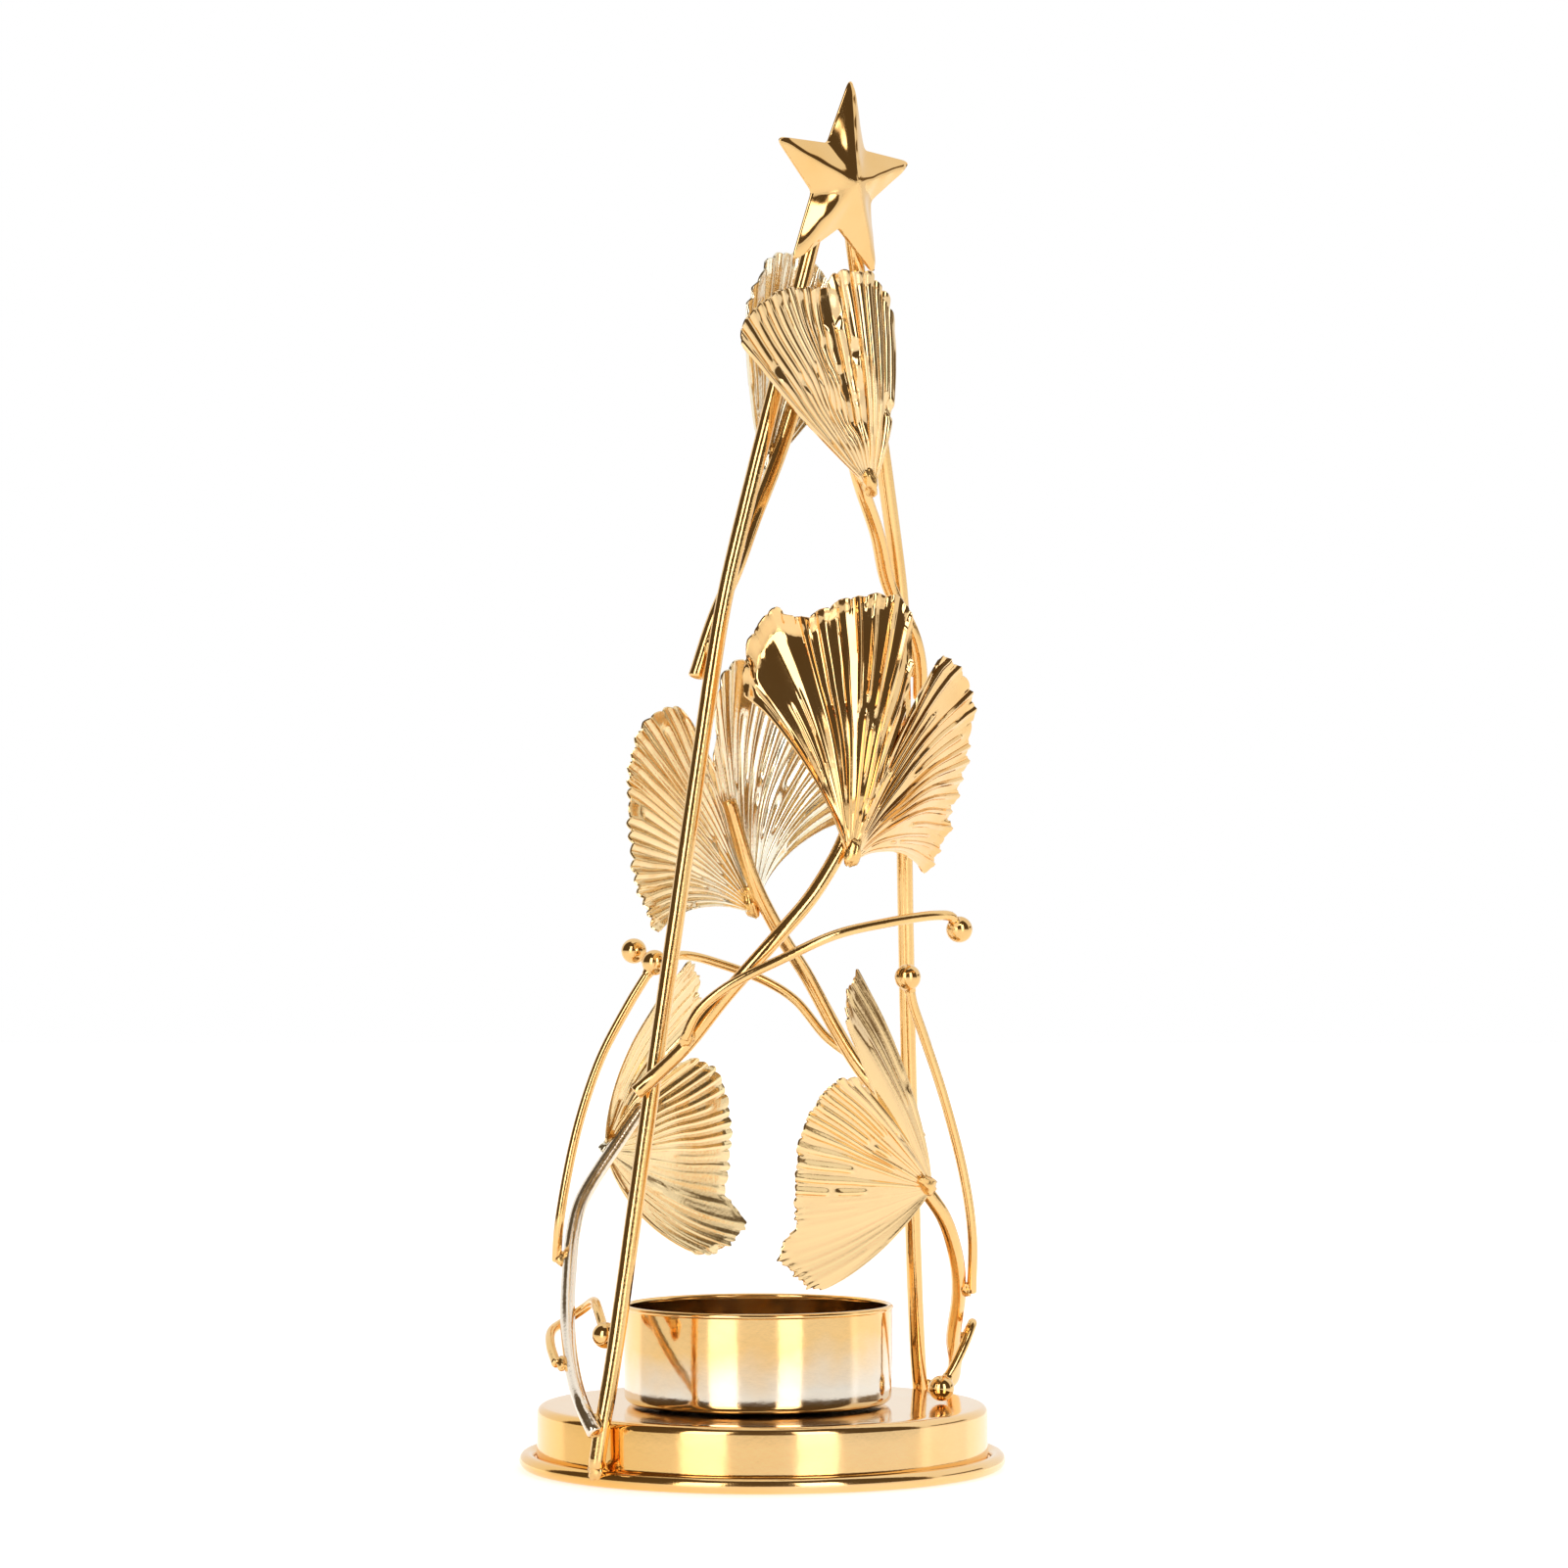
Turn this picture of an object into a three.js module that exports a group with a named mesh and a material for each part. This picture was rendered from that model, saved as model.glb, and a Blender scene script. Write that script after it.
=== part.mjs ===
import * as THREE from 'three';

// Sizes in millimetres, angles in degrees. +Z up, +X to the right, +Y away from the front.
// Azimuths turn from +X towards +Y. The holder stands on Z = 0, centred on the base.
const WELD_GAP = 0.25;
const CROSS_GAP = 0.4;

const DRUM_D = 70;
const DRUM_H = 9.7;
const DRUM_T = 0.6;
const DRUM_EDGE_R = 1.2;
const DRUM_LIFT = 0.3;
const RING_WIRE = 2.5;

const CUP_D = 42;
const CUP_H = 15.3;
const CUP_T = 0.5;
const CUP_RIM = 0.9;
const CUP_CORNER_R = 1.4;
const CUP_SHIFT = -0.7;

const ROD_D = 2.5;
const STEM_D = 2.3;
const TWIG_D = 1.5;
const BEAD_D = 4;
const BEAD_CURVE_STEPS = 10;

const LEAN = 0.0793;
const LEAN_AZ = -43.5;
const SHOULDER_SOFT = 0.5;
const APEX_Z = 193;
const APEX_R = 3.3;
const ROD_A_AZ = 226.2;
const ROD_A_SHOULDER_Z = 133;
const ROD_A_SHOULDER_R = 19.6;
const ROD_A_BOW = -0.05;
const ROD_B_AZ = 45.2;
const ROD_B_SHOULDER_Z = 135;
const ROD_B_SHOULDER_R = 20.1;
const ROD_B_BOW = -1;
const FOOT_TWIST = 2.3;
const FOOT_TWIST_FADE = 50;
const FOOT_FLARE = 0.9;
const FOOT_FLARE_FADE = 8;

const LEAF_T = 0.5;
const LEAF_PLEAT = 0.22;
const LEAF_NECK = 0.07;
const LEAF_BELLY = 1.2;

const STAR_R = 15.8;
const STAR_WAIST = 0.43;
const STAR_PEAK = 4.2;
const STAR_SKIRT = 1.3;
const STAR_T = 0.6;
const STAR_BLUNT = 0.55;
const STAR_RISE = 4;
const STAR_AZ = -42.5;
const STAR_TILT = 7;
const STAR_SLIP = -2;
const STAR_SEAT = 0.8;

const gold = { color: 0xd9a94e, roughness: 0.12, metalness: 1 };
const paleGold = { color: 0xe0c489, roughness: 0.2, metalness: 1 };
const silverGold = { color: 0xcfc0a0, roughness: 0.16, metalness: 1 };

const holder = new THREE.Group();
holder.name = 'christmas_tree_candle_holder';

function addPart(name, geometry, finish, parent = holder) {
  const mesh = new THREE.Mesh(geometry, new THREE.MeshStandardMaterial(finish));
  mesh.name = name;
  parent.add(mesh);
  return mesh;
}

const rad = THREE.MathUtils.degToRad;

// A flat direction at an azimuth.
function heading(azimuth) {
  return new THREE.Vector3(Math.cos(rad(azimuth)), Math.sin(rad(azimuth)), 0);
}

// A point of the upright tree: azimuth, distance from the axis, height.
function at([azimuth, radius, z]) {
  return heading(azimuth).multiplyScalar(radius).setZ(z);
}

// The soldered tree leans a little towards the star's face as it rises.
function lean(point) {
  return point.clone().addScaledVector(heading(LEAN_AZ), LEAN * point.z);
}

// Closed surface through rings of points. The two end rings are closed like a ladder, from one
// half of the ring to the other.
function skin(rings) {
  const count = rings[0].length;
  const vertices = rings.flat();
  const faces = [];
  for (let r = 0; r + 1 < rings.length; r += 1) {
    for (let c = 0; c < count; c += 1) {
      const a = r * count + c;
      const b = r * count + ((c + 1) % count);
      faces.push(a, b, b + count, a, b + count, a + count);
    }
  }
  const last = (rings.length - 1) * count;
  for (let a = 0, b = count - 1; a + 1 < b; a += 1, b -= 1) {
    faces.push(a, b, b - 1);
    faces.push(last + a, last + b - 1, last + b);
    if (a + 1 < b - 1) {
      faces.push(a, b - 1, a + 1);
      faces.push(last + a, last + a + 1, last + b - 1);
    }
  }
  return solid(vertices, faces);
}

function solid(vertices, faces) {
  const geometry = new THREE.BufferGeometry();
  const flat = vertices.flatMap((v) => [v.x, v.y, v.z]);
  geometry.setAttribute('position', new THREE.Float32BufferAttribute(flat, 3));
  geometry.setIndex(faces);
  geometry.computeVertexNormals();
  return geometry;
}

// Turned pieces: a closed outline of [radius, height] swept around the vertical.
function turned(outline, segments) {
  const points = outline.map(([r, z]) => new THREE.Vector2(r, z));
  if (outline[0][0] > 0) {
    points.push(points[0].clone());
  }
  const geometry = new THREE.LatheGeometry(points, segments);
  geometry.rotateX(Math.PI / 2);
  return geometry;
}

// Round wire along a smooth path.
function wire(points, diameter, steps, sides) {
  const corners = [];
  for (let i = 0; i < sides; i += 1) {
    const turn = (i * 2 * Math.PI) / sides;
    corners.push(new THREE.Vector2(Math.cos(turn), Math.sin(turn)).multiplyScalar(diameter / 2));
  }
  return new THREE.ExtrudeGeometry(new THREE.Shape(corners), {
    steps,
    bevelEnabled: false,
    extrudePath: new THREE.CatmullRomCurve3(points, false, 'centripetal'),
  });
}

// Quarter turn of points between two directions, for rounded corners of turned pieces.
function corner(r, z, radius, from, to, steps) {
  const points = [];
  for (let i = 0; i <= steps; i += 1) {
    const turn = rad(from + ((to - from) * i) / steps);
    points.push([r + radius * Math.cos(turn), z + radius * Math.sin(turn)]);
  }
  return points;
}

// Inverted shallow dish of pressed sheet, open below.
function baseDish() {
  const r = DRUM_D / 2;
  const inner = Math.max(DRUM_EDGE_R - DRUM_T, 0.05);
  const outline = [
    [0, DRUM_H - DRUM_T],
    ...corner(r - DRUM_T - inner, DRUM_H - DRUM_T - inner, inner, 90, 0, 2),
    [r - DRUM_T, DRUM_LIFT],
    [r, DRUM_LIFT],
    ...corner(r - DRUM_EDGE_R, DRUM_H - DRUM_EDGE_R, DRUM_EDGE_R, 0, 90, 4),
    [0, DRUM_H],
  ];
  return turned(outline, 56);
}

const ringRadius = DRUM_D / 2 + WELD_GAP + RING_WIRE / 2;

// Wire hoop around the foot of the dish, worn flat where it stands.
function baseRing() {
  const sides = 12;
  const outline = [];
  const reach = RING_WIRE / 2 / Math.cos(Math.PI / sides);
  for (let i = 0; i < sides; i += 1) {
    const turn = -Math.PI / 2 + ((i + 0.5) * 2 * Math.PI) / sides;
    outline.push([ringRadius + reach * Math.cos(turn), RING_WIRE / 2 + reach * Math.sin(turn)]);
  }
  return turned(outline, 64);
}

// Open cup for a tealight, with a rolled rim and a rounded foot.
function candleCup() {
  const r = CUP_D / 2 - CUP_RIM / 2 + CUP_T / 2;
  const z = DRUM_H + WELD_GAP;
  const roll = CUP_RIM / 2;
  const top = z + CUP_H - roll;
  const inner = Math.max(CUP_CORNER_R - CUP_T, 0.05);
  const bite = Math.asin(Math.min(CUP_T / 2 / roll, 0.9)) * THREE.MathUtils.RAD2DEG;
  const outline = [
    [0, z],
    ...corner(r - CUP_CORNER_R, z + CUP_CORNER_R, CUP_CORNER_R, -90, 0, 3),
    ...corner(r - CUP_T / 2, top, roll, -90 + bite, 270 - bite, 8),
    ...corner(r - CUP_T - inner, z + CUP_T + inner, inner, 0, -90, 2),
    [0, z + CUP_T],
  ];
  return turned(outline, 56);
}

// How far the flare at the foot has faded at a height.
function fade(z, length) {
  return Math.exp(-Math.max(z - DRUM_H, 0) / length);
}

// The two upright rods: azimuth, where the shoulder sits, and the bow off the straight below it.
const rodA = { azimuth: ROD_A_AZ, high: ROD_A_SHOULDER_Z, wide: ROD_A_SHOULDER_R, bow: ROD_A_BOW };
const rodB = { azimuth: ROD_B_AZ, high: ROD_B_SHOULDER_Z, wide: ROD_B_SHOULDER_R, bow: ROD_B_BOW };

// Distance of a rod from the axis: out past the dish, up to the shoulder, in to the apex.
function rodRadius(which, z) {
  const low = DRUM_D / 2 + WELD_GAP + ROD_D / 2 + LEAN * DRUM_H * 0.15 - FOOT_FLARE;
  const lower = (low - which.wide) * (1 - (z - DRUM_H) / (which.high - DRUM_H));
  const upper = ((APEX_R - which.wide) * (z - which.high)) / (APEX_Z - which.high);
  const k = SHOULDER_SOFT;
  const straight = which.wide - k * Math.log(Math.exp(-lower / k) + Math.exp(-upper / k));
  const along = Math.min(Math.max((z - DRUM_H) / (which.high - DRUM_H), 0), 1);
  return straight + which.bow * Math.sin(Math.PI * along) + FOOT_FLARE * fade(z, FOOT_FLARE_FADE);
}

function rodPoint(which, z) {
  return at([which.azimuth + FOOT_TWIST * fade(z, FOOT_TWIST_FADE), rodRadius(which, z), z]);
}

function rod(which) {
  const points = [];
  const foot = RING_WIRE + WELD_GAP + 0.2;
  const stops = 22;
  for (let i = 0; i <= stops; i += 1) {
    points.push(lean(rodPoint(which, foot + ((APEX_Z - foot) * i) / stops)));
  }
  return wire(points, ROD_D, 26, 12);
}

// Distance from the axis, at a height, of the slim cone that both rods follow.
function coneRadius(z) {
  const foot = DRUM_D / 2 + WELD_GAP + ROD_D / 2;
  const high = (rodA.high + rodB.high) / 2;
  const wide = (rodA.wide + rodB.wide) / 2;
  if (z < high) {
    return foot + ((wide - foot) * z) / high;
  }
  return wide + ((APEX_R - wide) * (z - high)) / (APEX_Z - high);
}

// A point of the upright tree placed from the rods' cone: azimuth, distance outside it, height.
function onCone([azimuth, off, z]) {
  return at([azimuth, coneRadius(z) + off, z]);
}

// Centre of a wire of the given diameter that lies against a rod on the side of an azimuth.
function besideRod(which, z, side, diameter) {
  const reach = ROD_D / 2 + diameter / 2 + CROSS_GAP;
  return rodPoint(which, z).addScaledVector(heading(side), reach);
}

// Values between listed ones, without overshoot.
function smoothRow(rows, t) {
  const span = rows.length - 1;
  const place = Math.min(Math.max(t * span, 0), span);
  const i = Math.min(Math.floor(place), span - 1);
  const f = place - i;
  return rows[0].map((_, k) => {
    const slope = (a, b) => (a * b > 0 ? (2 * a * b) / (a + b) : 0);
    const step = rows[i + 1][k] - rows[i][k];
    const before = i > 0 ? rows[i][k] - rows[i - 1][k] : step;
    const after = i + 2 <= span ? rows[i + 2][k] - rows[i + 1][k] : step;
    const m0 = slope(before, step);
    const m1 = slope(step, after);
    const f2 = f * f;
    const f3 = f2 * f;
    return (2 * f3 - 3 * f2 + 1) * rows[i][k] + (f3 - 2 * f2 + f) * m0
      + (3 * f2 - 2 * f3) * rows[i + 1][k] + (f3 - f2) * m1;
  });
}

// A fan leaf. foot: azimuth, distance off the rods' cone and height of its base.
// facing: azimuth of its outer face.
// bow: degrees that the left and right side edges swell near the base.
// rays: [angle from upright, reach, lift off the flat] across the fan, left to right from outside.
// A short reach between two long ones is the notch between the lobes.
const leaves = {
  top_front: {
    foot: [349, -7, 150.4],
    facing: 315,
    bow: [14, 2],
    rays: [
      [-54, 34.5, -2], [-48.5, 36, -2], [-36, 35, -2.5], [-24, 32.5, -3.5], [-16.5, 31.5, -4],
      [-11.5, 33.5, -3.5], [-5, 33, -1.5], [2, 30.5, -1.5], [8.5, 25.5, -2],
    ],
  },
  top_back: {
    foot: [169, -5.9, 154],
    facing: 135,
    bow: [10, 2],
    rays: [
      [-38, 24, -5], [-34, 28, -4.5], [-28, 31, -3.5], [-22, 32, -2.5], [-17, 31, -2],
      [-12, 33, -1], [0, 33, -1], [9, 29.5, -1], [17, 24, -1.5],
    ],
  },
  middle_front: {
    foot: [290.5, -2.5, 93.4],
    facing: 300,
    bow: [-12, -22],
    rays: [
      [-29, 29, -9.5], [-24.5, 34, -10], [-16.5, 38.5, -9.5], [-9.5, 37, -7], [3, 40, -4.5],
      [12.5, 40.5, -4], [26, 19.5, -2.5], [28.5, 36, -5], [41.5, 36.5, -8.5], [57.5, 32.5, -12.5],
      [72.5, 29, -16.5], [92, 25.5, -20],
    ],
  },
  middle_back: {
    foot: [107.5, -4.8, 86],
    facing: 120,
    bow: [-25, -22],
    rays: [
      [-43, 20, -2], [-29, 29, -3.5], [-14, 37.5, -3], [-3, 41.5, -1], [7, 40, -0.5],
      [14, 37, -1.5], [21, 25.5, -0.5], [27, 36, -1.5], [37, 37.5, -3], [47, 34.5, -4],
      [65, 29.5, -7.5], [96, 25, -14.5],
    ],
  },
  lower_right: {
    foot: [331, -4.4, 44],
    facing: 305,
    bow: [14, 12],
    rays: [
      [-125, 25, 4], [-113, 29, 3], [-105, 31, 3.5], [-92, 29, 5], [-79, 29.5, 5],
      [-64, 30, 5.5], [-54, 28.5, 5.5], [-41, 19, 0.5], [-37, 32, 2], [-31, 34, -1], [-23, 35.5, -3.5],
    ],
  },
  lower_left: {
    foot: [151.5, 1.1, 48.6],
    facing: 125,
    bow: [20, 20],
    rays: [
      [-130, 27, 2], [-121, 30.5, 2], [-113, 32, 2], [-106, 28, 5], [-89, 27.5, 5],
      [-69, 27.5, 5.5], [-57, 25, 5.5], [-44, 16.5, 1], [-40, 26.5, 2.5], [-31, 31, 0], [-23, 32, -2.5],
    ],
  },
};

// A point of a leaf's middle sheet: t across the fan, s from base (0) to outer edge (1).
function leafPoint(leaf, t, s) {
  const [angle, reach, lift] = smoothRow(leaf.rays, t);
  const swell = (1 - s) * (leaf.bow[1] * t - leaf.bow[0] * (1 - t));
  const out = heading(leaf.facing);
  const side = new THREE.Vector3(0, 0, 1).cross(out);
  const up = new THREE.Vector3(0, 0, 1);
  return onCone(leaf.foot)
    .addScaledVector(side, Math.sin(rad(angle + swell)) * reach * s)
    .addScaledVector(up, Math.cos(rad(angle + swell)) * reach * s)
    .addScaledVector(out, lift * s + LEAF_BELLY * Math.sin(Math.PI * s));
}

function leafNormal(leaf, t, s) {
  const e = 0.02;
  const across = leafPoint(leaf, Math.min(t + e, 1), s).sub(leafPoint(leaf, Math.max(t - e, 0), s));
  const along = leafPoint(leaf, t, Math.min(s + e, 1)).sub(leafPoint(leaf, t, Math.max(s - e, 0.01)));
  return across.cross(along).normalize();
}

// Pleated thin sheet, closed round its edge.
function leafBlade(leaf) {
  const columns = (leaf.rays.length - 1) * 3;
  const rows = 6;
  const grid = (face) => {
    const lines = [];
    for (let c = 0; c <= columns; c += 1) {
      const line = [];
      for (let r = 0; r <= rows; r += 1) {
        const t = c / columns;
        const s = LEAF_NECK + ((1 - LEAF_NECK) * r) / rows;
        const pleat = (c % 2 ? 1 : -1) * LEAF_PLEAT * Math.min(s * 1.5, 1);
        const normal = leafNormal(leaf, t, s);
        line.push(lean(leafPoint(leaf, t, s).addScaledVector(normal, (face * LEAF_T) / 2 + pleat)));
      }
      lines.push(line);
    }
    return lines;
  };
  const front = grid(1);
  const back = grid(-1);
  const rings = front.map((line, c) => [...line, ...back[c].slice().reverse()]);
  return skin(rings.reverse());
}

// Where a stem lies along the inner face of a leaf, reach millimetres from the leaf's base.
function behindLeaf(leaf, t, reach, diameter) {
  const s = reach / smoothRow(leaf.rays, t)[1];
  const depth = LEAF_T / 2 + LEAF_PLEAT + diameter / 2 + CROSS_GAP;
  return leafPoint(leaf, t, s).addScaledVector(leafNormal(leaf, t, s), -depth);
}

function leafStem(points) {
  return wire(points.map(lean), STEM_D, 18, 10);
}

// A thin twig that ends just short of its bead.
function twig(points, bead) {
  const last = points[points.length - 1];
  const toBead = bead.clone().sub(last).normalize();
  const end = bead.clone().addScaledVector(toBead, -(BEAD_D / 2 + WELD_GAP));
  return wire([...points, end].map(lean), TWIG_D, 14, 8);
}

function beadBall() {
  return new THREE.SphereGeometry(BEAD_D / 2, 14, BEAD_CURVE_STEPS);
}

// Centre of a twig laid against a stem, a share of the way along it, on the side of an azimuth.
function besideStem(name, share, side) {
  const reach = STEM_D / 2 + TWIG_D / 2 + CROSS_GAP;
  const curve = new THREE.CatmullRomCurve3(stems[name], false, 'centripetal');
  const along = curve.getTangentAt(share);
  const out = heading(side).addScaledVector(along, -along.dot(heading(side))).normalize();
  return curve.getPointAt(share).addScaledVector(out, reach);
}

const stems = {
  leaf_stem_lower_left: [
    besideRod(rodA, 8.5, 250, STEM_D), onCone([224.5, 3.4, 12]), onCone([212.5, 0.6, 16.7]),
    onCone([196, -1.3, 23]), onCone([181.5, -1.1, 30]), onCone([171, 0, 36]),
    onCone([163.5, 0.6, 41]), behindLeaf(leaves.lower_left, 0.6, 2.5, STEM_D),
    behindLeaf(leaves.lower_left, 0.7, 9, STEM_D),
  ],
  leaf_stem_lower_right: [
    besideRod(rodB, 9, 70, STEM_D), onCone([42, 4.2, 10.6]), onCone([34, 1.2, 14]),
    onCone([21, -3.1, 19.2]), onCone([4, -4.1, 27]), onCone([349.5, -4.1, 33.5]),
    onCone([339, -4.4, 39.5]), behindLeaf(leaves.lower_right, 0.6, 2.5, STEM_D),
    behindLeaf(leaves.lower_right, 0.7, 9, STEM_D),
  ],
  leaf_stem_middle_front: [
    besideRod(rodA, 61, 268, STEM_D).add(new THREE.Vector3(-2.2, -0.2, -2)),
    besideRod(rodA, 61, 268, STEM_D), onCone([240, 1.7, 66]), onCone([249.5, 0.8, 73]),
    onCone([263.5, -0.8, 81.5]), onCone([277.5, -3.1, 89]),
    behindLeaf(leaves.middle_front, 0.36, 5, STEM_D),
    behindLeaf(leaves.middle_front, 0.4, 12, STEM_D),
  ],
  leaf_stem_middle_back: [
    besideRod(rodB, 52, 88, STEM_D).add(new THREE.Vector3(1.6, 0.2, -2)),
    besideRod(rodB, 52, 88, STEM_D), onCone([65.5, 1.2, 60.5]), onCone([73.5, 0.2, 67]),
    onCone([84, -1.9, 76]), onCone([96, -5.1, 83]), behindLeaf(leaves.middle_back, 0.45, 6, STEM_D),
    behindLeaf(leaves.middle_back, 0.54, 19, STEM_D),
  ],
  leaf_stem_top_front: [
    besideRod(rodB, 120, 15, STEM_D), besideRod(rodB, 124.8, 340, STEM_D),
    besideRod(rodB, 129.5, 305, STEM_D), onCone([39, -3.8, 137]), onCone([29, -6.1, 144.5]),
    behindLeaf(leaves.top_front, 0.5, 2.5, STEM_D), behindLeaf(leaves.top_front, 0.5, 10, STEM_D),
  ],
  leaf_stem_top_back: [
    besideRod(rodA, 121.5, 150, STEM_D), besideRod(rodA, 130.5, 110, STEM_D),
    onCone([219, -3.5, 138]), onCone([208.5, -5.6, 146.5]),
    behindLeaf(leaves.top_back, 0.46, 2.5, STEM_D), behindLeaf(leaves.top_back, 0.46, 10, STEM_D),
  ],
};

const twigs = {
  outer_left: {
    points: [
      besideStem('leaf_stem_lower_left', 0.578, 150), onCone([178, 1.9, 37.5]),
      onCone([176.5, 2.1, 45]), onCone([174.5, 1.8, 54]), onCone([170, 0.6, 63.5]),
      onCone([164.5, -1.8, 72]),
    ],
    bead: onCone([158.5, -3.8, 78.2]),
  },
  outer_right: {
    points: [
      besideStem('leaf_stem_lower_right', 0.537, -40), onCone([357, -1.6, 36]),
      onCone([355.5, -2.3, 45.5]), onCone([350.7, -4.4, 57.5]), onCone([344, -6.3, 66.5]),
      onCone([338, -7.2, 72]),
    ],
    bead: onCone([334.6, -7.3, 76]),
  },
  hook_left: {
    points: [
      besideStem('leaf_stem_lower_left', 0.236, 190), onCone([201.5, 1.8, 20]),
      onCone([193.5, 0.6, 21.8]), onCone([187, -1.8, 23]), onCone([188.5, -4.2, 25]),
      onCone([196, -4.8, 26.3]), onCone([205, -4.1, 25.5]),
    ],
    bead: onCone([216.5, -2.8, 22]),
  },
  hook_right: {
    points: [
      besideStem('leaf_stem_lower_right', 0.306, 50), onCone([18, -0.9, 20.8]),
      onCone([13.5, -1.3, 21.6]), onCone([10, -3.2, 18.6]), onCone([7, -5.3, 15.4]),
    ],
    bead: onCone([4, -7.8, DRUM_H + WELD_GAP + BEAD_D / 2]),
  },
  middle_front: {
    points: [
      besideStem('leaf_stem_middle_front', 0.195, 241), onCone([245, 4.3, 71]),
      onCone([252, 3.6, 74.6]), onCone([267.5, 1.9, 79]), onCone([283, 0.9, 82.4]),
      onCone([301, 0, 84.2]), onCone([322, 1.1, 85.4]), onCone([329.5, 1.7, 85.2]),
    ],
    bead: onCone([334.6, 1.7, 83.3]),
  },
  middle_back: {
    points: [
      besideStem('leaf_stem_middle_back', 0.244, 67), onCone([78, 3, 66]), onCone([88, 3, 72]),
      onCone([97, 3.2, 75]), onCone([111, 3.2, 77.7]), onCone([125.5, 2.9, 79.3]),
      onCone([142, 1.9, 78.4]),
    ],
    bead: onCone([152, 1.6, 80]),
  },
};

// Five points with blunt tips, as [angle, distance] around the star's centre.
function starOutline() {
  const outline = [];
  for (let i = 0; i < 5; i += 1) {
    const tip = 90 + i * 72;
    const spread = (STAR_BLUNT / STAR_R) * THREE.MathUtils.RAD2DEG;
    outline.push([tip - spread, STAR_R], [tip + spread, STAR_R], [tip + 36, STAR_R * STAR_WAIST]);
  }
  return outline;
}

// Hollow pressed star: faceted face, turned-back skirt, open behind. Drawn facing +Z.
function starShell() {
  const ring = (inset, height) => starOutline().map(([angle, distance]) => {
    const reach = distance - inset * (distance > STAR_R * 0.8 ? 2.6 : 1);
    return new THREE.Vector3(Math.cos(rad(angle)) * reach, Math.sin(rad(angle)) * reach, height);
  });
  const peak = (height, inset) => starOutline().map(([angle, distance]) => {
    const reach = (distance > STAR_R * 0.8 ? 0.12 : 0.08) - inset * 0.01;
    return new THREE.Vector3(Math.cos(rad(angle)) * reach, Math.sin(rad(angle)) * reach, height);
  });
  const rings = [
    peak(STAR_SKIRT + STAR_PEAK - STAR_T, STAR_T),
    ring(STAR_T, STAR_SKIRT - STAR_T * 0.5),
    ring(STAR_T, 0),
    ring(0, 0),
    ring(0, STAR_SKIRT),
    peak(STAR_SKIRT + STAR_PEAK, 0),
  ];
  return skin(rings);
}

addPart('base_dish', baseDish(), gold);
addPart('base_ring', baseRing(), gold);
addPart('candle_cup', candleCup(), silverGold).position.x = CUP_SHIFT;
addPart('rod_front_left', rod(rodA), gold);
addPart('rod_back_right', rod(rodB), gold);

for (const [name, leaf] of Object.entries(leaves)) {
  addPart(`leaf_${name}`, leafBlade(leaf), name.endsWith('front') ? gold : paleGold);
}
for (const [name, points] of Object.entries(stems)) {
  addPart(name, leafStem(points), name.endsWith('left') ? silverGold : gold);
}
for (const [name, { points, bead }] of Object.entries(twigs)) {
  addPart(`twig_${name}`, twig(points, bead), gold);
  addPart(`bead_${name}`, beadBall(), gold).position.copy(lean(bead));
}

const star = addPart('star_topper', starShell(), gold);
const starFront = heading(STAR_AZ);
const starRight = new THREE.Vector3(0, 0, 1).cross(starFront);
const starFrame = new THREE.Matrix4().makeBasis(starRight, new THREE.Vector3(0, 0, 1), starFront);
star.quaternion.setFromRotationMatrix(starFrame);
star.rotateX(rad(STAR_TILT));
star.position.copy(lean(new THREE.Vector3(0, 0, APEX_Z + STAR_RISE)));
star.position.addScaledVector(starFront, ROD_D / 2 + WELD_GAP + STAR_SEAT);
star.position.addScaledVector(starRight, STAR_SLIP);

export default holder;
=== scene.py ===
import math
import bpy
import numpy as np
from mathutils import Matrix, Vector, noise

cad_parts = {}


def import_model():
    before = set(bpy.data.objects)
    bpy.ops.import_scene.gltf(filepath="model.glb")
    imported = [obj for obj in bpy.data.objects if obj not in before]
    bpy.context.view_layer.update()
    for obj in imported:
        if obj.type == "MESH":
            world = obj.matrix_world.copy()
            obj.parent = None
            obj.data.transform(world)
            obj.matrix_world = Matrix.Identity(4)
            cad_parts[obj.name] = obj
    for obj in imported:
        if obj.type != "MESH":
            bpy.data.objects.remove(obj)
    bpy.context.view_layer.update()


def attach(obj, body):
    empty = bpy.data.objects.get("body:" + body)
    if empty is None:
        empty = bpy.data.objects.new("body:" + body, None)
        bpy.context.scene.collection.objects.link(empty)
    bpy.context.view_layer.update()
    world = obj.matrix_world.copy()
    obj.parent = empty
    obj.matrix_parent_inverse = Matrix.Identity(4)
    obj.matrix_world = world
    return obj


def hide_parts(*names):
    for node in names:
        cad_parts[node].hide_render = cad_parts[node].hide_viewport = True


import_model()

MM = 0.001
UP = np.array([0.0, 0.0, 1.0])

# Camera: level, 700 mm in front of the axis and 81 mm up, the picture shifted up
PHOTO_PX = 1601.0
FOCAL_PX = 4600.0
SHIFT_PX = 164.0
SENSOR = 36.0
CAMERA_PLACE = (0.00335, -0.7, 0.081)

cam_data = bpy.data.cameras.new("camera")
cam_data.sensor_width = SENSOR
cam_data.lens = FOCAL_PX / PHOTO_PX * SENSOR
cam_data.shift_y = SHIFT_PX / PHOTO_PX
cam_data.clip_end = 50.0
camera = bpy.data.objects.new("camera", cam_data)
camera.location = CAMERA_PLACE
camera.rotation_euler = (math.radians(90.0), 0.0, 0.0)
bpy.context.scene.collection.objects.link(camera)
bpy.context.scene.camera = camera
bpy.context.scene.view_settings.view_transform = "Standard"


# Materials

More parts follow.
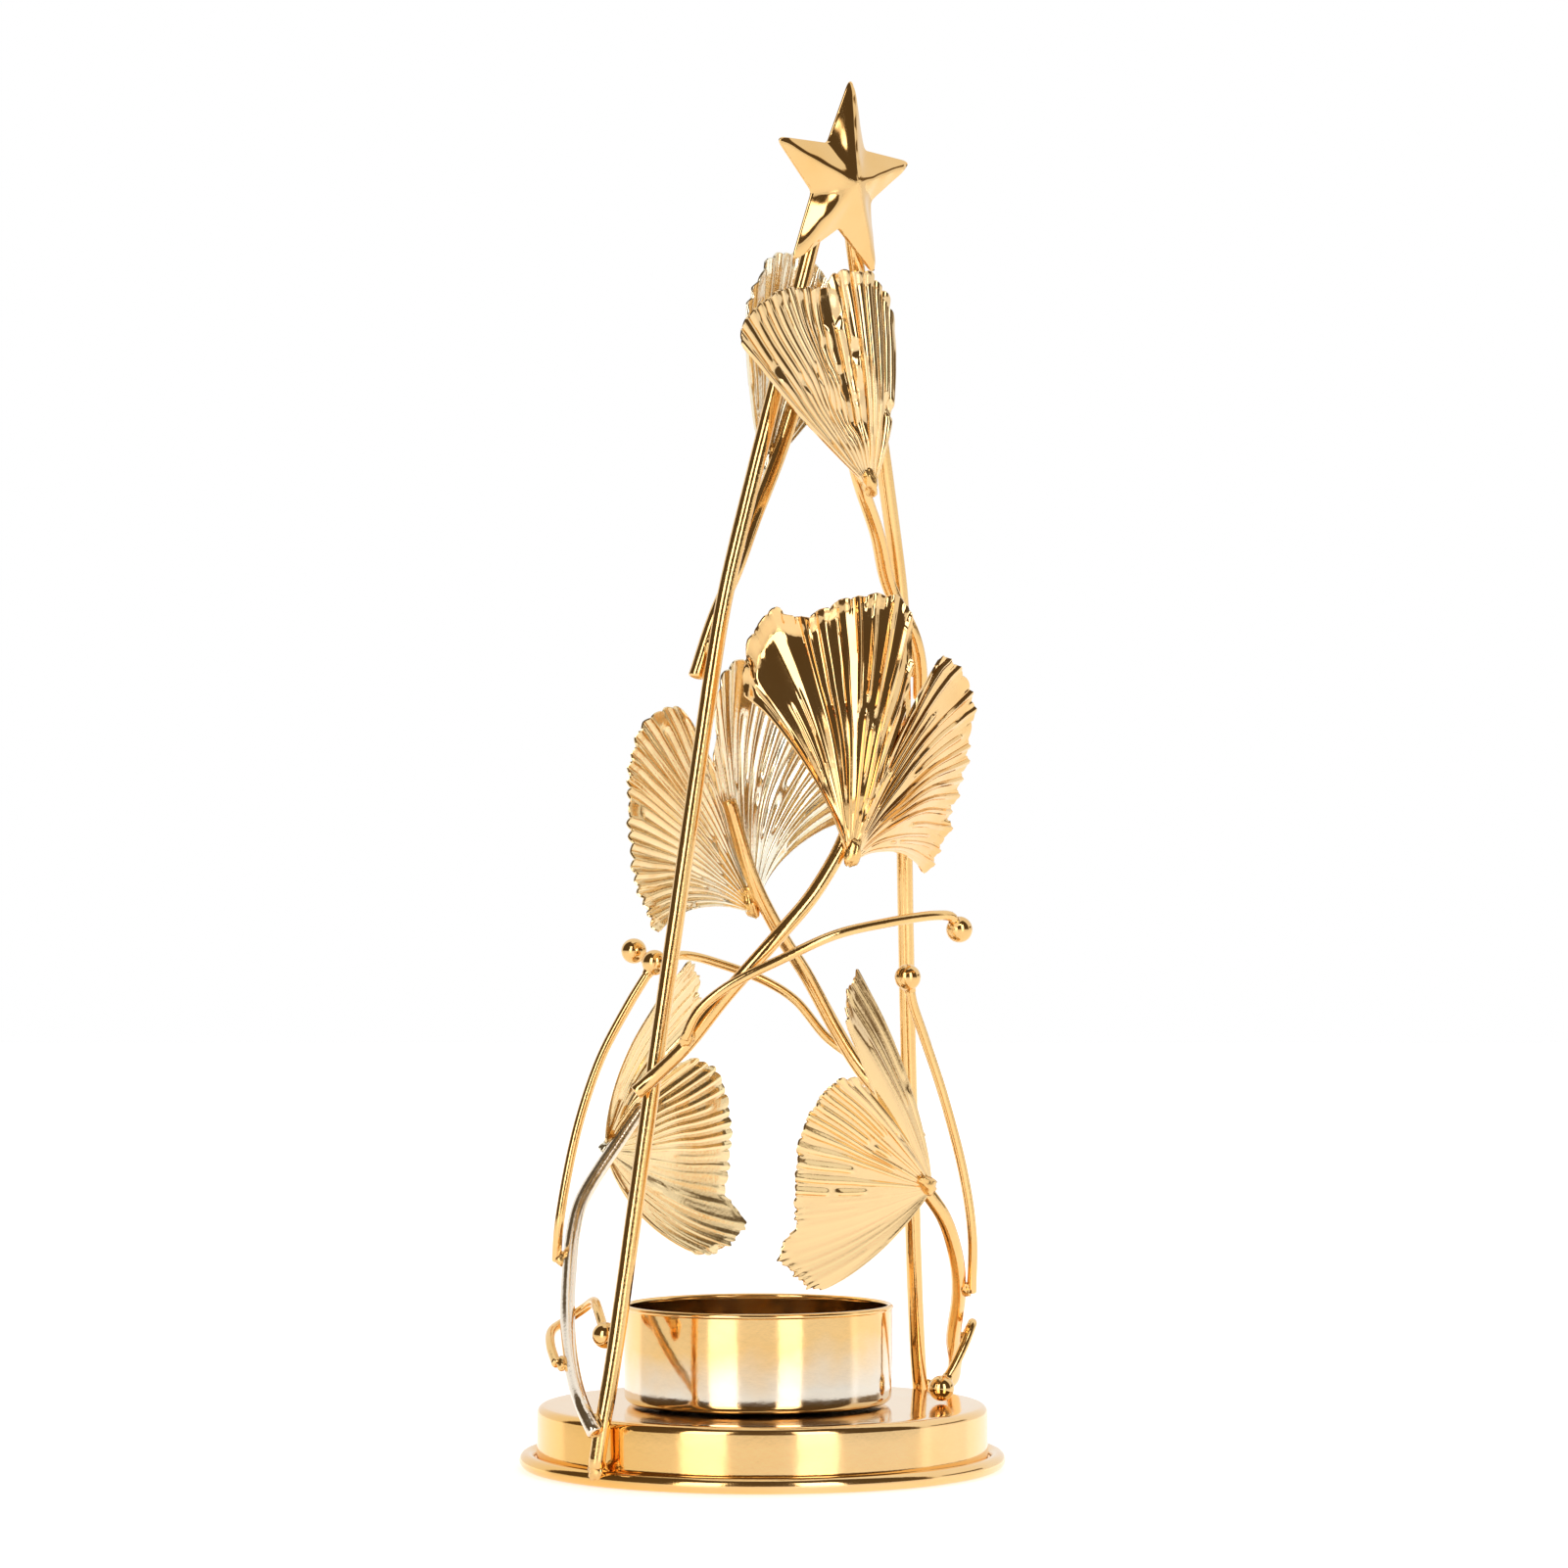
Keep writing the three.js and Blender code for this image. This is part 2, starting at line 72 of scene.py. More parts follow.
def new_material(name):
    mat = bpy.data.materials.new(name)
    mat.use_nodes = True
    tree = mat.node_tree
    tree.nodes.clear()
    return mat, tree, tree.nodes.new("ShaderNodeOutputMaterial")


def add_node(tree, kind, inputs=None, operation=None):
    """A new node. Each input takes a number, a colour or another node's output."""
    node = tree.nodes.new(kind)
    if operation is not None:
        node.operation = operation
    for key, value in (inputs or {}).items():
        if isinstance(value, bpy.types.NodeSocket):
            tree.links.new(value, node.inputs[key])
        elif isinstance(value, tuple):
            node.inputs[key].default_value = (*value, 1.0)
        else:
            node.inputs[key].default_value = value
    return node


def math_node(tree, operation, *values):
    return add_node(tree, "ShaderNodeMath", dict(enumerate(values)), operation).outputs[0]


def noise_node(tree, coords, scale, detail, rough=0.55):
    return add_node(tree, "ShaderNodeTexNoise", {
        "Vector": coords, "Scale": scale, "Detail": detail, "Roughness": rough}).outputs["Fac"]


def map_range(tree, value, from_range, to_range=(0.0, 1.0), smooth=False):
    node = add_node(tree, "ShaderNodeMapRange", {
        "Value": value, "From Min": from_range[0], "From Max": from_range[1],
        "To Min": to_range[0], "To Max": to_range[1]})
    if smooth:
        node.interpolation_type = "SMOOTHSTEP"
    return node.outputs["Result"]


def parts_of(tree, vector):
    split = add_node(tree, "ShaderNodeSeparateXYZ", {"Vector": vector})
    return split.outputs["X"], split.outputs["Y"], split.outputs["Z"]


def mix_colors(tree, factor, a, b):
    node = tree.nodes.new("ShaderNodeMix")
    node.data_type = "RGBA"
    tree.links.new(factor, node.inputs["Factor"])
    for socket, value in ((node.inputs[6], a), (node.inputs[7], b)):
        if isinstance(value, tuple):
            socket.default_value = (*value, 1.0)
        else:
            tree.links.new(value, socket)
    return node.outputs[2]


def drift_color(tree, factor, base, deep):
    """Two golds with a soft border where the noise is about half."""
    node = tree.nodes.new("ShaderNodeValToRGB")
    for element, place, color in zip(node.color_ramp.elements, (0.35, 0.68), (base, deep)):
        element.position = place
        element.color = (*color, 1.0)
    tree.links.new(factor, node.inputs["Fac"])
    return node.outputs["Color"]


def plated(name, base, deep, rough, spread, bump, grain=900.0, painted_side_shade=None, valley=None, silver=None):
    """Plated metal: colour drifts between two golds, roughness in soft clouds and fine pits.

    painted_side_shade: painted shade, a darker orange gold that takes over towards -X
    valley: painted shade, a darker colour mixed in between the raised cords of a leaf where the
    relief attribute is low; pieces without that attribute take it all over
    silver: colour, heights in mm where it begins and where it is full, unevenness in mm,
        slope along X
    """
    mat, tree, out = new_material(name)
    coords = tree.nodes.new("ShaderNodeTexCoord").outputs["Object"]
    color = drift_color(tree, noise_node(tree, coords, 90.0, 3.0), base, deep)
    # painted shade: the valley colour darkens the sheet between its cords, following the relief
    # attribute
    if valley is not None:
        relief = tree.nodes.new("ShaderNodeAttribute")
        relief.attribute_name = "relief"
        height = map_range(tree, relief.outputs["Fac"], (0.05, 0.55))
        color = mix_colors(tree, height, valley, color)
    if painted_side_shade is not None:
        # painted shade: the colour turns a darker orange gold towards -X
        x, _, _ = parts_of(tree, coords)
        color = mix_colors(tree, map_range(tree, x, (4 * MM, -24 * MM)), color, painted_side_shade)
    if silver is not None:
        tint, begins, full, uneven, slope = silver
        x, _, z = parts_of(tree, coords)
        tilted = math_node(tree, "MULTIPLY_ADD", x, slope, z)
        patches = noise_node(tree, coords, 160.0, 2.0)
        level = math_node(tree, "MULTIPLY_ADD", patches, uneven * MM, tilted)
        color = mix_colors(tree, map_range(tree, level, (begins * MM, full * MM)), color, tint)
    clouds = noise_node(tree, coords, 260.0, 4.0)
    roughness = map_range(tree, clouds, (0.3, 0.75), (rough, rough + spread))
    pits = add_node(tree, "ShaderNodeBump", {
        "Strength": bump, "Distance": 0.00006, "Height": noise_node(tree, coords, grain, 3.0, 0.6)})
    shader = add_node(tree, "ShaderNodeBsdfPrincipled", {
        "Metallic": 1.0, "Base Color": color, "Roughness": roughness,
        "Normal": pits.outputs["Normal"]})
    tree.links.new(shader.outputs["BSDF"], out.inputs["Surface"])
    return mat


mat_gold = plated("gold_plate", (0.91, 0.60, 0.26), (0.88, 0.55, 0.21), 0.045, 0.04, 0.06)
mat_wire = plated("gold_wire", (0.94, 0.63, 0.27), (0.92, 0.58, 0.23), 0.05, 0.09, 0.4, 1400.0)
mat_leaf = plated("leaf_gold", (0.95, 0.66, 0.32), (0.91, 0.58, 0.24), 0.045, 0.06, 0.12)
mat_top = plated("leaf_top_gold", (0.93, 0.69, 0.385), (0.89, 0.62, 0.30), 0.045, 0.06, 0.12)
# the valley colours of these leaf materials are painted shade between the cords
mat_pale = plated("leaf_pale_gold", (0.97, 0.72, 0.37), (0.95, 0.67, 0.31), 0.10, 0.10, 0.3, 1800.0,
                  valley=(0.91, 0.65, 0.33))
# painted light: a paler copy of leaf_pale_gold for the lower left leaf, brightened to offset the
# leaf's own shading
mat_pale_brightened = plated("leaf_pale_gold_brightened", (0.98, 0.79, 0.44), (0.96, 0.74, 0.38), 0.10, 0.10,
                       0.3, 1800.0, valley=(0.93, 0.72, 0.40))
mat_cream = plated("leaf_silvery_gold", (0.98, 0.78, 0.45), (0.95, 0.68, 0.34), 0.10, 0.12, 0.4,
                   2200.0, valley=(0.90, 0.66, 0.33),
                   silver=((0.98, 0.95, 0.80), 270.0, 130.0, 60.0, -10.0))
mat_silvery = plated("leaf_silver", (0.94, 0.89, 0.75), (0.93, 0.79, 0.51), 0.10, 0.12, 0.5, 2200.0,
                     valley=(0.84, 0.76, 0.58))
mat_stem = plated("stem_silvery_gold", (0.96, 0.76, 0.48), (0.90, 0.66, 0.36), 0.10, 0.14, 0.6,
                  1400.0, silver=((0.97, 0.86, 0.71), 66.0, 52.0, 10.0, 0.0))
mat_cup = plated("cup_gold_to_silver", (0.98, 0.66, 0.29), (0.97, 0.62, 0.25), 0.07, 0.07, 0.3,
                 500.0, silver=((0.84, 0.77, 0.66), 24.0, 15.5, 7.0, -0.10))
# the warm colour of the base is painted shade on its -X side
mat_base = plated("base_gold", (0.98, 0.68, 0.335), (0.97, 0.64, 0.285), 0.07, 0.07, 0.25, 600.0,
                  painted_side_shade=(0.95, 0.57, 0.18))
mat_weld = plated("weld_gold", (0.93, 0.61, 0.25), (0.88, 0.53, 0.19), 0.12, 0.18, 1.0, 1100.0)


# Upright tree, in millimetres and degrees

LEAN = 0.0793
LEAN_AZ = -43.5
DRUM_R = 35.0
DRUM_H = 9.7
DRUM_T = 0.6
DRUM_EDGE_R = 1.2
GAP = 0.25
RING_WIRE = 2.5
ROD_D = 2.5
STEM_D = 2.3
TWIG_D = 1.5
BEAD_D = 4.0
CUP_R = 21.0
CUP_H = 15.3
CUP_T = 0.5
CUP_RIM_R = 0.45
CUP_CORNER_R = 1.4
CUP_SHIFT = -0.7
# azimuth, height and radius of the shoulder, bow below it
ROD_A = (226.2, 133.0, 19.6, -0.05)
ROD_B = (45.2, 135.0, 20.1, -1.0)
APEX_Z = 193.0
APEX_R = 3.3
SHOULDER_SOFT = 0.5
FOOT_TWIST = 2.3
FOOT_TWIST_FADE = 50.0
FOOT_FLARE = 0.9
FOOT_FLARE_FADE = 8.0
FOOT_LEAN_SHARE = 0.15
LEAF_T = 0.5
LEAF_PLEAT = 0.22
LEAF_BELLY = 1.2
CROSS_GAP = 0.4


def unit(v):
    """Vectors along the last axis, brought to length 1."""
    return v / np.maximum(np.linalg.norm(v, axis=-1), 1e-9)[..., None]


def heading(azimuth):
    a = math.radians(azimuth)
    return np.array([math.cos(a), math.sin(a), 0.0])


def at(azimuth, radius, z):
    p = heading(azimuth) * radius
    p[2] = z
    return p


def lean(p):
    p = np.asarray(p, float)
    return p + heading(LEAN_AZ) * LEAN * p[..., 2:3]


def cone_radius(z):
    foot = DRUM_R + GAP + ROD_D / 2
    high = (ROD_A[1] + ROD_B[1]) / 2
    wide = (ROD_A[2] + ROD_B[2]) / 2
    if z < high:
        return foot + (wide - foot) * z / high
    return wide + (APEX_R - wide) * (z - high) / (APEX_Z - high)


def on_cone(azimuth, off, z):
    return at(azimuth, cone_radius(z) + off, z)


def rod_point(which, z):
    azimuth, high, wide, bow = which
    rise = max(z - DRUM_H, 0.0)
    low = DRUM_R + GAP + ROD_D / 2 + LEAN * DRUM_H * FOOT_LEAN_SHARE - FOOT_FLARE
    lower = (low - wide) * (1 - (z - DRUM_H) / (high - DRUM_H))
    upper = (APEX_R - wide) * (z - high) / (APEX_Z - high)
    soft = SHOULDER_SOFT
    straight = wide - soft * math.log(math.exp(-lower / soft) + math.exp(-upper / soft))
    along = min(max((z - DRUM_H) / (high - DRUM_H), 0.0), 1.0)
    flare = FOOT_FLARE * math.exp(-rise / FOOT_FLARE_FADE)
    radius = straight + bow * math.sin(math.pi * along) + flare
    return at(azimuth + FOOT_TWIST * math.exp(-rise / FOOT_TWIST_FADE), radius, z)


def beside_rod(which, z, side, diameter=STEM_D):
    return rod_point(which, z) + heading(side) * (ROD_D / 2 + diameter / 2 + CROSS_GAP)


def curve_points(points, count):
    """Evenly spaced points of a centripetal curve through the given ones."""
    p = [np.asarray(q, float) for q in points]
    p = [2 * p[0] - p[1]] + p + [2 * p[-1] - p[-2]]
    dense = []
    for i in range(1, len(p) - 2):
        p0, p1, p2, p3 = p[i - 1:i + 3]
        d0, d1, d2 = (max(np.linalg.norm(b - a) ** 0.5, 1e-4)
                      for a, b in ((p0, p1), (p1, p2), (p2, p3)))
        m1 = ((p1 - p0) / d0 - (p2 - p0) / (d0 + d1) + (p2 - p1) / d1) * d1
        m2 = ((p2 - p1) / d1 - (p3 - p1) / (d1 + d2) + (p3 - p2) / d2) * d1
        for k in range(24):
            f = k / 24.0
            f2, f3 = f * f, f * f * f
            dense.append((2 * f3 - 3 * f2 + 1) * p1 + (f3 - 2 * f2 + f) * m1
                         + (3 * f2 - 2 * f3) * p2 + (f3 - f2) * m2)
    dense.append(p[-2])
    dense = np.array(dense)
    length = np.concatenate([[0], np.cumsum(np.linalg.norm(np.diff(dense, axis=0), axis=1))])
    want = np.linspace(0, length[-1], count)
    return np.stack([np.interp(want, length, dense[:, k]) for k in range(3)], axis=1)


# Leaves: foot on the cone, facing, side-edge bows, rays (angle, reach, lift)
LEAVES = {
    "top_front": ((349, -7, 150.4), 315, (14, 2), [
        (-54, 34.5, -2), (-48.5, 36, -2), (-36, 35, -2.5), (-24, 32.5, -3.5), (-16.5, 31.5, -4),
        (-11.5, 33.5, -3.5), (-5, 33, -1.5), (2, 30.5, -1.5), (8.5, 25.5, -2)]),
    "top_back": ((169, -5.9, 154), 135, (10, 2), [
        (-38, 24, -5), (-34, 28, -4.5), (-28, 31, -3.5), (-22, 32, -2.5), (-17, 31, -2),
        (-12, 33, -1), (0, 33, -1), (9, 29.5, -1), (17, 24, -1.5)]),
    "middle_front": ((290.5, -2.5, 93.4), 300, (-12, -22), [
        (-29, 29, -9.5), (-24.5, 34, -10), (-16.5, 38.5, -9.5), (-9.5, 37, -7), (3, 40, -4.5),
        (12.5, 40.5, -4), (26, 19.5, -2.5), (28.5, 36, -5), (41.5, 36.5, -8.5), (57.5, 32.5, -12.5),
        (72.5, 29, -16.5), (92, 25.5, -20)]),
    "middle_back": ((107.5, -4.8, 86), 120, (-25, -22), [
        (-43, 20, -2), (-29, 29, -3.5), (-14, 37.5, -3), (-3, 41.5, -1), (7, 40, -0.5),
        (14, 37, -1.5), (21, 25.5, -0.5), (27, 36, -1.5), (37, 37.5, -3), (47, 34.5, -4),
        (65, 29.5, -7.5), (96, 25, -14.5)]),
    "lower_right": ((331, -4.4, 44), 305, (14, 12), [
        (-125, 25, 2.6), (-113, 29, 3.2), (-105, 31, 3.8), (-92, 29, 4.6), (-79, 29.5, 5),
        (-64, 30, 5.5), (-54, 28.5, 5.5), (-41, 19, 0.5), (-37, 32, 2), (-31, 34, -1),
        (-23, 35.5, -3.5)]),
    "lower_left": ((151.5, 1.1, 48.6), 125, (20, 20), [
        (-130, 27, 2), (-121, 30.5, 2), (-113, 32, 2), (-106, 28, 5), (-89, 27.5, 5),
        (-69, 27.5, 5.5), (-57, 25, 5.5), (-44, 16.5, 1), (-40, 26.5, 2.5), (-31, 31, 0),
        (-23, 32, -2.5)]),
}


def smooth_rows(rows, t):
    """Values between rows without overshoot, for an array of t from 0 to 1."""
    rows = np.asarray(rows, float)
    span = len(rows) - 1
    place = np.clip(np.asarray(t, float) * span, 0, span)
    i = np.minimum(np.floor(place).astype(int), span - 1)
    f = (place - i)[..., None]
    step = np.diff(rows, axis=0)
    before = np.concatenate([step[:1], step[:-1]])
    after = np.concatenate([step[1:], step[-1:]])

    def slope(a, b):
        both = a * b
        total = np.where(np.abs(a + b) < 1e-9, 1.0, a + b)
        return np.where(both > 0, 2 * both / total, 0.0)

    m0, m1 = slope(before, step)[i], slope(step, after)[i]
    a, b = rows[i], rows[i + 1]
    f2, f3 = f * f, f * f * f
    return ((2 * f3 - 3 * f2 + 1) * a + (f3 - 2 * f2 + f) * m0
            + (3 * f2 - 2 * f3) * b + (f3 - f2) * m1)


def leaf_point(leaf, t, s, grow=1.0):
    foot, facing, bow, rays = leaf
    t, s = np.broadcast_arrays(np.asarray(t, float), np.asarray(s, float))
    v = smooth_rows(rays, t)
    angle, reach, lift = v[..., 0], v[..., 1] * grow, v[..., 2]
    a = np.radians(angle + (1 - s) * (bow[1] * t - bow[0] * (1 - t)))
    out = heading(facing)
    side = np.cross(UP, out)
    belly = LEAF_BELLY * np.sin(np.pi * np.clip(s, 0, 1))
    return (on_cone(*foot) + side * (np.sin(a) * reach * s)[..., None]
            + UP * (np.cos(a) * reach * s)[..., None] + out * (lift * s + belly)[..., None])


def leaf_normal(leaf, t, s):
    e = 0.02
    across = leaf_point(leaf, min(t + e, 1), s) - leaf_point(leaf, max(t - e, 0), s)
    along = leaf_point(leaf, t, min(s + e, 1)) - leaf_point(leaf, t, max(s - e, 0.01))
    return unit(np.cross(across, along))


def behind_leaf(name, t, reach, diameter=STEM_D):
    leaf = LEAVES[name]
    s = reach / smooth_rows(leaf[3], t)[1]
    depth = LEAF_T / 2 + LEAF_PLEAT + diameter / 2 + CROSS_GAP
    return leaf_point(leaf, t, s) - leaf_normal(leaf, t, s) * depth


STEMS = {
    "lower_left": [
        beside_rod(ROD_A, 8.5, 250), on_cone(224.5, 3.4, 12), on_cone(212.5, 0.6, 16.7),
        on_cone(196, -1.3, 23), on_cone(181.5, -1.1, 30), on_cone(171, 0, 36),
        on_cone(163.5, 0.6, 41),
        behind_leaf("lower_left", 0.6, 2.5), behind_leaf("lower_left", 0.7, 9)],
    "lower_right": [
        beside_rod(ROD_B, 9, 70), on_cone(42, 4.2, 10.6), on_cone(34, 1.2, 14),
        on_cone(21, -3.1, 19.2), on_cone(4, -4.1, 27), on_cone(349.5, -4.1, 33.5),
        on_cone(339, -4.4, 39.5),
        behind_leaf("lower_right", 0.6, 2.5), behind_leaf("lower_right", 0.7, 9)],
    "middle_front": [
        beside_rod(ROD_A, 61, 268) + np.array([-2.2, -0.2, -2.0]), beside_rod(ROD_A, 61, 268),
        on_cone(240, 1.7, 66), on_cone(249.5, 0.8, 73), on_cone(263.5, -0.8, 81.5),
        on_cone(277.5, -3.1, 89),
        behind_leaf("middle_front", 0.36, 5), behind_leaf("middle_front", 0.4, 12)],
    "middle_back": [
        beside_rod(ROD_B, 52, 88) + np.array([1.6, 0.2, -2.0]), beside_rod(ROD_B, 52, 88),
        on_cone(65.5, 1.2, 60.5), on_cone(73.5, 0.2, 67), on_cone(84, -1.9, 76),
        on_cone(96, -5.1, 83),
        behind_leaf("middle_back", 0.45, 6), behind_leaf("middle_back", 0.54, 19)],
    "top_front": [
        beside_rod(ROD_B, 120, 15), beside_rod(ROD_B, 124.8, 340), beside_rod(ROD_B, 129.5, 305),
        on_cone(39, -3.8, 137), on_cone(29, -6.1, 144.5),
        behind_leaf("top_front", 0.5, 2.5), behind_leaf("top_front", 0.5, 10)],
    "top_back": [
        beside_rod(ROD_A, 121.5, 150), beside_rod(ROD_A, 130.5, 110), on_cone(219, -3.5, 138),
        on_cone(208.5, -5.6, 146.5),
        behind_leaf("top_back", 0.46, 2.5), behind_leaf("top_back", 0.46, 10)],
}
STEM_STEPS = 400


def stem_line(name):
    return curve_points(STEMS[name], STEM_STEPS + 1)


def way_along(line, k, reach):
    """Direction of a line at point k, taken over some points either side."""
    return line[min(k + reach, len(line) - 1)] - line[max(k - reach, 0)]


def beside_stem(name, share, side):
    line = stem_line(name)
    k = int(round(share * STEM_STEPS))
    along = unit(way_along(line, k, 1))
    out = heading(side)
    out = unit(out - along * np.dot(along, out))
    return line[k] + out * (STEM_D / 2 + TWIG_D / 2 + CROSS_GAP)


# Twigs: where each leaves its stem (stem, share of its length, side), its route, its ball
TWIGS = {
    "outer_left": (("lower_left", 0.578, 150), [
        on_cone(178, 1.9, 37.5), on_cone(176.5, 2.1, 45), on_cone(174.5, 1.8, 54),
        on_cone(170, 0.6, 63.5), on_cone(164.5, -1.8, 72)],
        on_cone(158.5, -3.8, 78.2)),
    "outer_right": (("lower_right", 0.537, -40), [
        on_cone(357, -1.6, 36), on_cone(355.5, -2.3, 45.5), on_cone(350.7, -4.4, 57.5),
        on_cone(344, -6.3, 66.5), on_cone(338, -7.2, 72)],
        on_cone(334.6, -7.3, 76)),
    "hook_left": (("lower_left", 0.236, 190), [
        on_cone(201.5, 1.8, 20), on_cone(193.5, 0.6, 21.8), on_cone(187, -1.8, 23),
        on_cone(188.5, -4.2, 25), on_cone(196, -4.8, 26.3), on_cone(205, -4.1, 25.5)],
        on_cone(216.5, -2.8, 22)),
    "hook_right": (("lower_right", 0.306, 50), [
        on_cone(18, -0.9, 20.8), on_cone(13.5, -1.3, 21.6), on_cone(10, -3.2, 18.6),
        on_cone(7, -5.3, 15.4)],
        on_cone(4, -7.8, DRUM_H + GAP + BEAD_D / 2)),
    "middle_front": (("middle_front", 0.195, 241), [
        on_cone(245, 4.3, 71), on_cone(252, 3.6, 74.6), on_cone(267.5, 1.9, 79),
        on_cone(283, 0.9, 82.4), on_cone(301, 0, 84.2), on_cone(322, 1.1, 85.4),
        on_cone(329.5, 1.7, 85.2)],
        on_cone(334.6, 1.7, 83.3)),
    "middle_back": (("middle_back", 0.244, 67), [
        on_cone(78, 3, 66), on_cone(88, 3, 72), on_cone(97, 3.2, 75), on_cone(111, 3.2, 77.7),
        on_cone(125.5, 2.9, 79.3), on_cone(142, 1.9, 78.4)],
        on_cone(152, 1.6, 80)),
}


# Meshes

def make(name, verts, faces, material, nodes=(), angle=None, relief=None):
    """A smooth shaded piece from points in millimetres. angle: edges sharper than it stay crisp."""
    mesh = bpy.data.meshes.new(name)
    points = [tuple(v) for v in np.asarray(verts) * MM]
    mesh.from_pydata(points, [], [list(map(int, f)) for f in faces])
    if relief is not None:
        layer = mesh.attributes.new("relief", "FLOAT", "POINT")
        layer.data.foreach_set("value", np.asarray(relief, np.float32))
    mesh.update()
    obj = bpy.data.objects.new(name, mesh)
    bpy.context.scene.collection.objects.link(obj)
    mesh.materials.append(material)
    for p in mesh.polygons:
        p.use_smooth = True
    if angle is not None:
        mesh.set_sharp_from_angle(angle=math.radians(angle))
    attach(obj, "root")
    if nodes:
        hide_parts(*nodes)
    return obj


def grid_faces(rows, columns, wrap_columns=False, wrap_rows=False, base=0, flip=False):
    faces = []
    for r in range(rows if wrap_rows else rows - 1):
        for c in range(columns if wrap_columns else columns - 1):
            a = base + r * columns + c
            b = base + r * columns + (c + 1) % columns
            d = base + ((r + 1) % rows) * columns + c
            e = base + ((r + 1) % rows) * columns + (c + 1) % columns
            faces.append((a, d, e, b) if flip else (a, b, e, d))
    return faces


def turns(count):
    return np.arange(count) * 2 * math.pi / count


def tube(name, line, diameter, material, nodes, sides, wobble, seed):
    """Round, slightly uneven wire with softly broken ends, along a line in millimetres."""
    line = np.asarray(line, float)
    radius = diameter / 2
    tangent = unit(np.gradient(line, axis=0))
    u = unit(np.cross(tangent[0], [0.3, 0.9, 0.2]))
    rows = []
    for p, t in zip(line, tangent):
        u = unit(u - t * np.dot(u, t))
        w = np.cross(t, u)
        ring = []
        for a in turns(sides):
            q = p * 0.13 + np.array([math.cos(a), math.sin(a), seed])
            r = radius * (1 + wobble * noise.noise(Vector(q)))
            ring.append(p + (u * math.cos(a) + w * math.sin(a)) * r)
        rows.append(np.array(ring))
    round_off = min(0.25, radius * 0.3)
    steps = ((0.0, round_off), (0.55, round_off), (0.9, round_off * 0.75))
    lead = [line[0] + (rows[0] - line[0]) * k - tangent[0] * d for k, d in steps]
    tail = [line[-1] + (rows[-1] - line[-1]) * k + tangent[-1] * d for k, d in reversed(steps)]
    rows = lead + rows + tail
    faces = grid_faces(len(rows), sides, wrap_columns=True)
    return make(name, np.concatenate(rows), faces, material, nodes, angle=55)


def lathe(name, outline, segments, material, nodes, ripple, shift=0.0, angle=40):
    """Closed outline of (radius, height) swept round the vertical, slightly out of round."""
    verts = []
    for r, z in outline:
        for a in turns(segments):
            rr = r
            if r > 1:
                q = Vector((math.cos(a) * 2.2, math.sin(a) * 2.2, z * 0.12))
                rr = r + ripple * noise.noise(q)
            verts.append((rr * math.cos(a) + shift, rr * math.sin(a), z))
    faces = grid_faces(len(outline), segments, wrap_columns=True, wrap_rows=True)
    return make(name, verts, faces, material, nodes, angle=angle)


def arc(cx, cz, radius, start, stop, steps):
    """Points of an arc in the radius and height plane, angles in degrees."""
    angles = [math.radians(start + (stop - start) * i / steps) for i in range(steps + 1)]
    return [(cx + radius * math.cos(a), cz + radius * math.sin(a)) for a in angles]


def lump(name, centre, axis, long, wide, seed, silvery=False):
    """A small run of weld metal: a stretched, uneven drop round a crossing of two wires."""
    axis = unit(np.asarray(axis, float))
    u = unit(np.cross(axis, [0.31, 0.2, 0.93]))
    w = np.cross(axis, u)
    rows, columns = 15, 20
    verts = []
    for th in np.arange(rows) * math.pi / (rows - 1):
        for ph in turns(columns):
            d = np.array([math.cos(th), math.sin(th) * math.cos(ph), math.sin(th) * math.sin(ph)])
            k = (1 + 0.28 * noise.noise(Vector((d * 1.7 + seed * 3.1)))
                 + 0.13 * noise.noise(Vector((d * 4.3 + seed))))
            verts.append(centre + (axis * d[0] * long + (u * d[1] + w * d[2]) * wide) * k)
    faces = grid_faces(rows, columns, wrap_columns=True, flip=True)
    # a lump has no relief attribute, so the silvery foot lumps take mat_silvery's painted valley
    # shade all over
    material, slot = (mat_silvery, "pale_gold_plate") if silvery else (mat_weld, "gold_plate")
    return make(name, verts, faces, material)


# Base dish, foot ring and cup

def dish():
    r, h, t, e = DRUM_R, DRUM_H, DRUM_T, DRUM_EDGE_R
    lip, inner = 0.25, 0.6
    outline = [(x, h) for x in (0.02, 8, 16, 22, 26, 29.5, 31.5)] + [(32.6, h + 0.02)]
    outline += arc(r - e, h - e, e, 86, 0, 10) + [(r, 6.5), (r, 4.0), (r, 2.0), (r, 0.9)]
    outline += arc(r - lip, 0.45, lip, 0, -180, 5) + [(r - t, 2.0), (r - t, 6.0)]
    outline += arc(r - t - inner, h - t - inner, inner, 0, 90, 5) + [(20.0, h - t), (0.02, h - t)]
    lathe("dish", outline[::-1], 192, mat_base, ["base_dish"], ripple=0.05)


def foot_ring():
    r = RING_WIRE / 2
    middle = DRUM_R + GAP + r
    outline = []
    for a in turns(20):
        worn = 1.0 if math.sin(a) > -0.96 else 0.97
        outline.append((middle + r * math.cos(a), max(r + r * math.sin(a) * worn, 0.0)))
    lathe("ring", outline[::-1], 224, mat_base, ["base_ring"], ripple=0.06, angle=180)


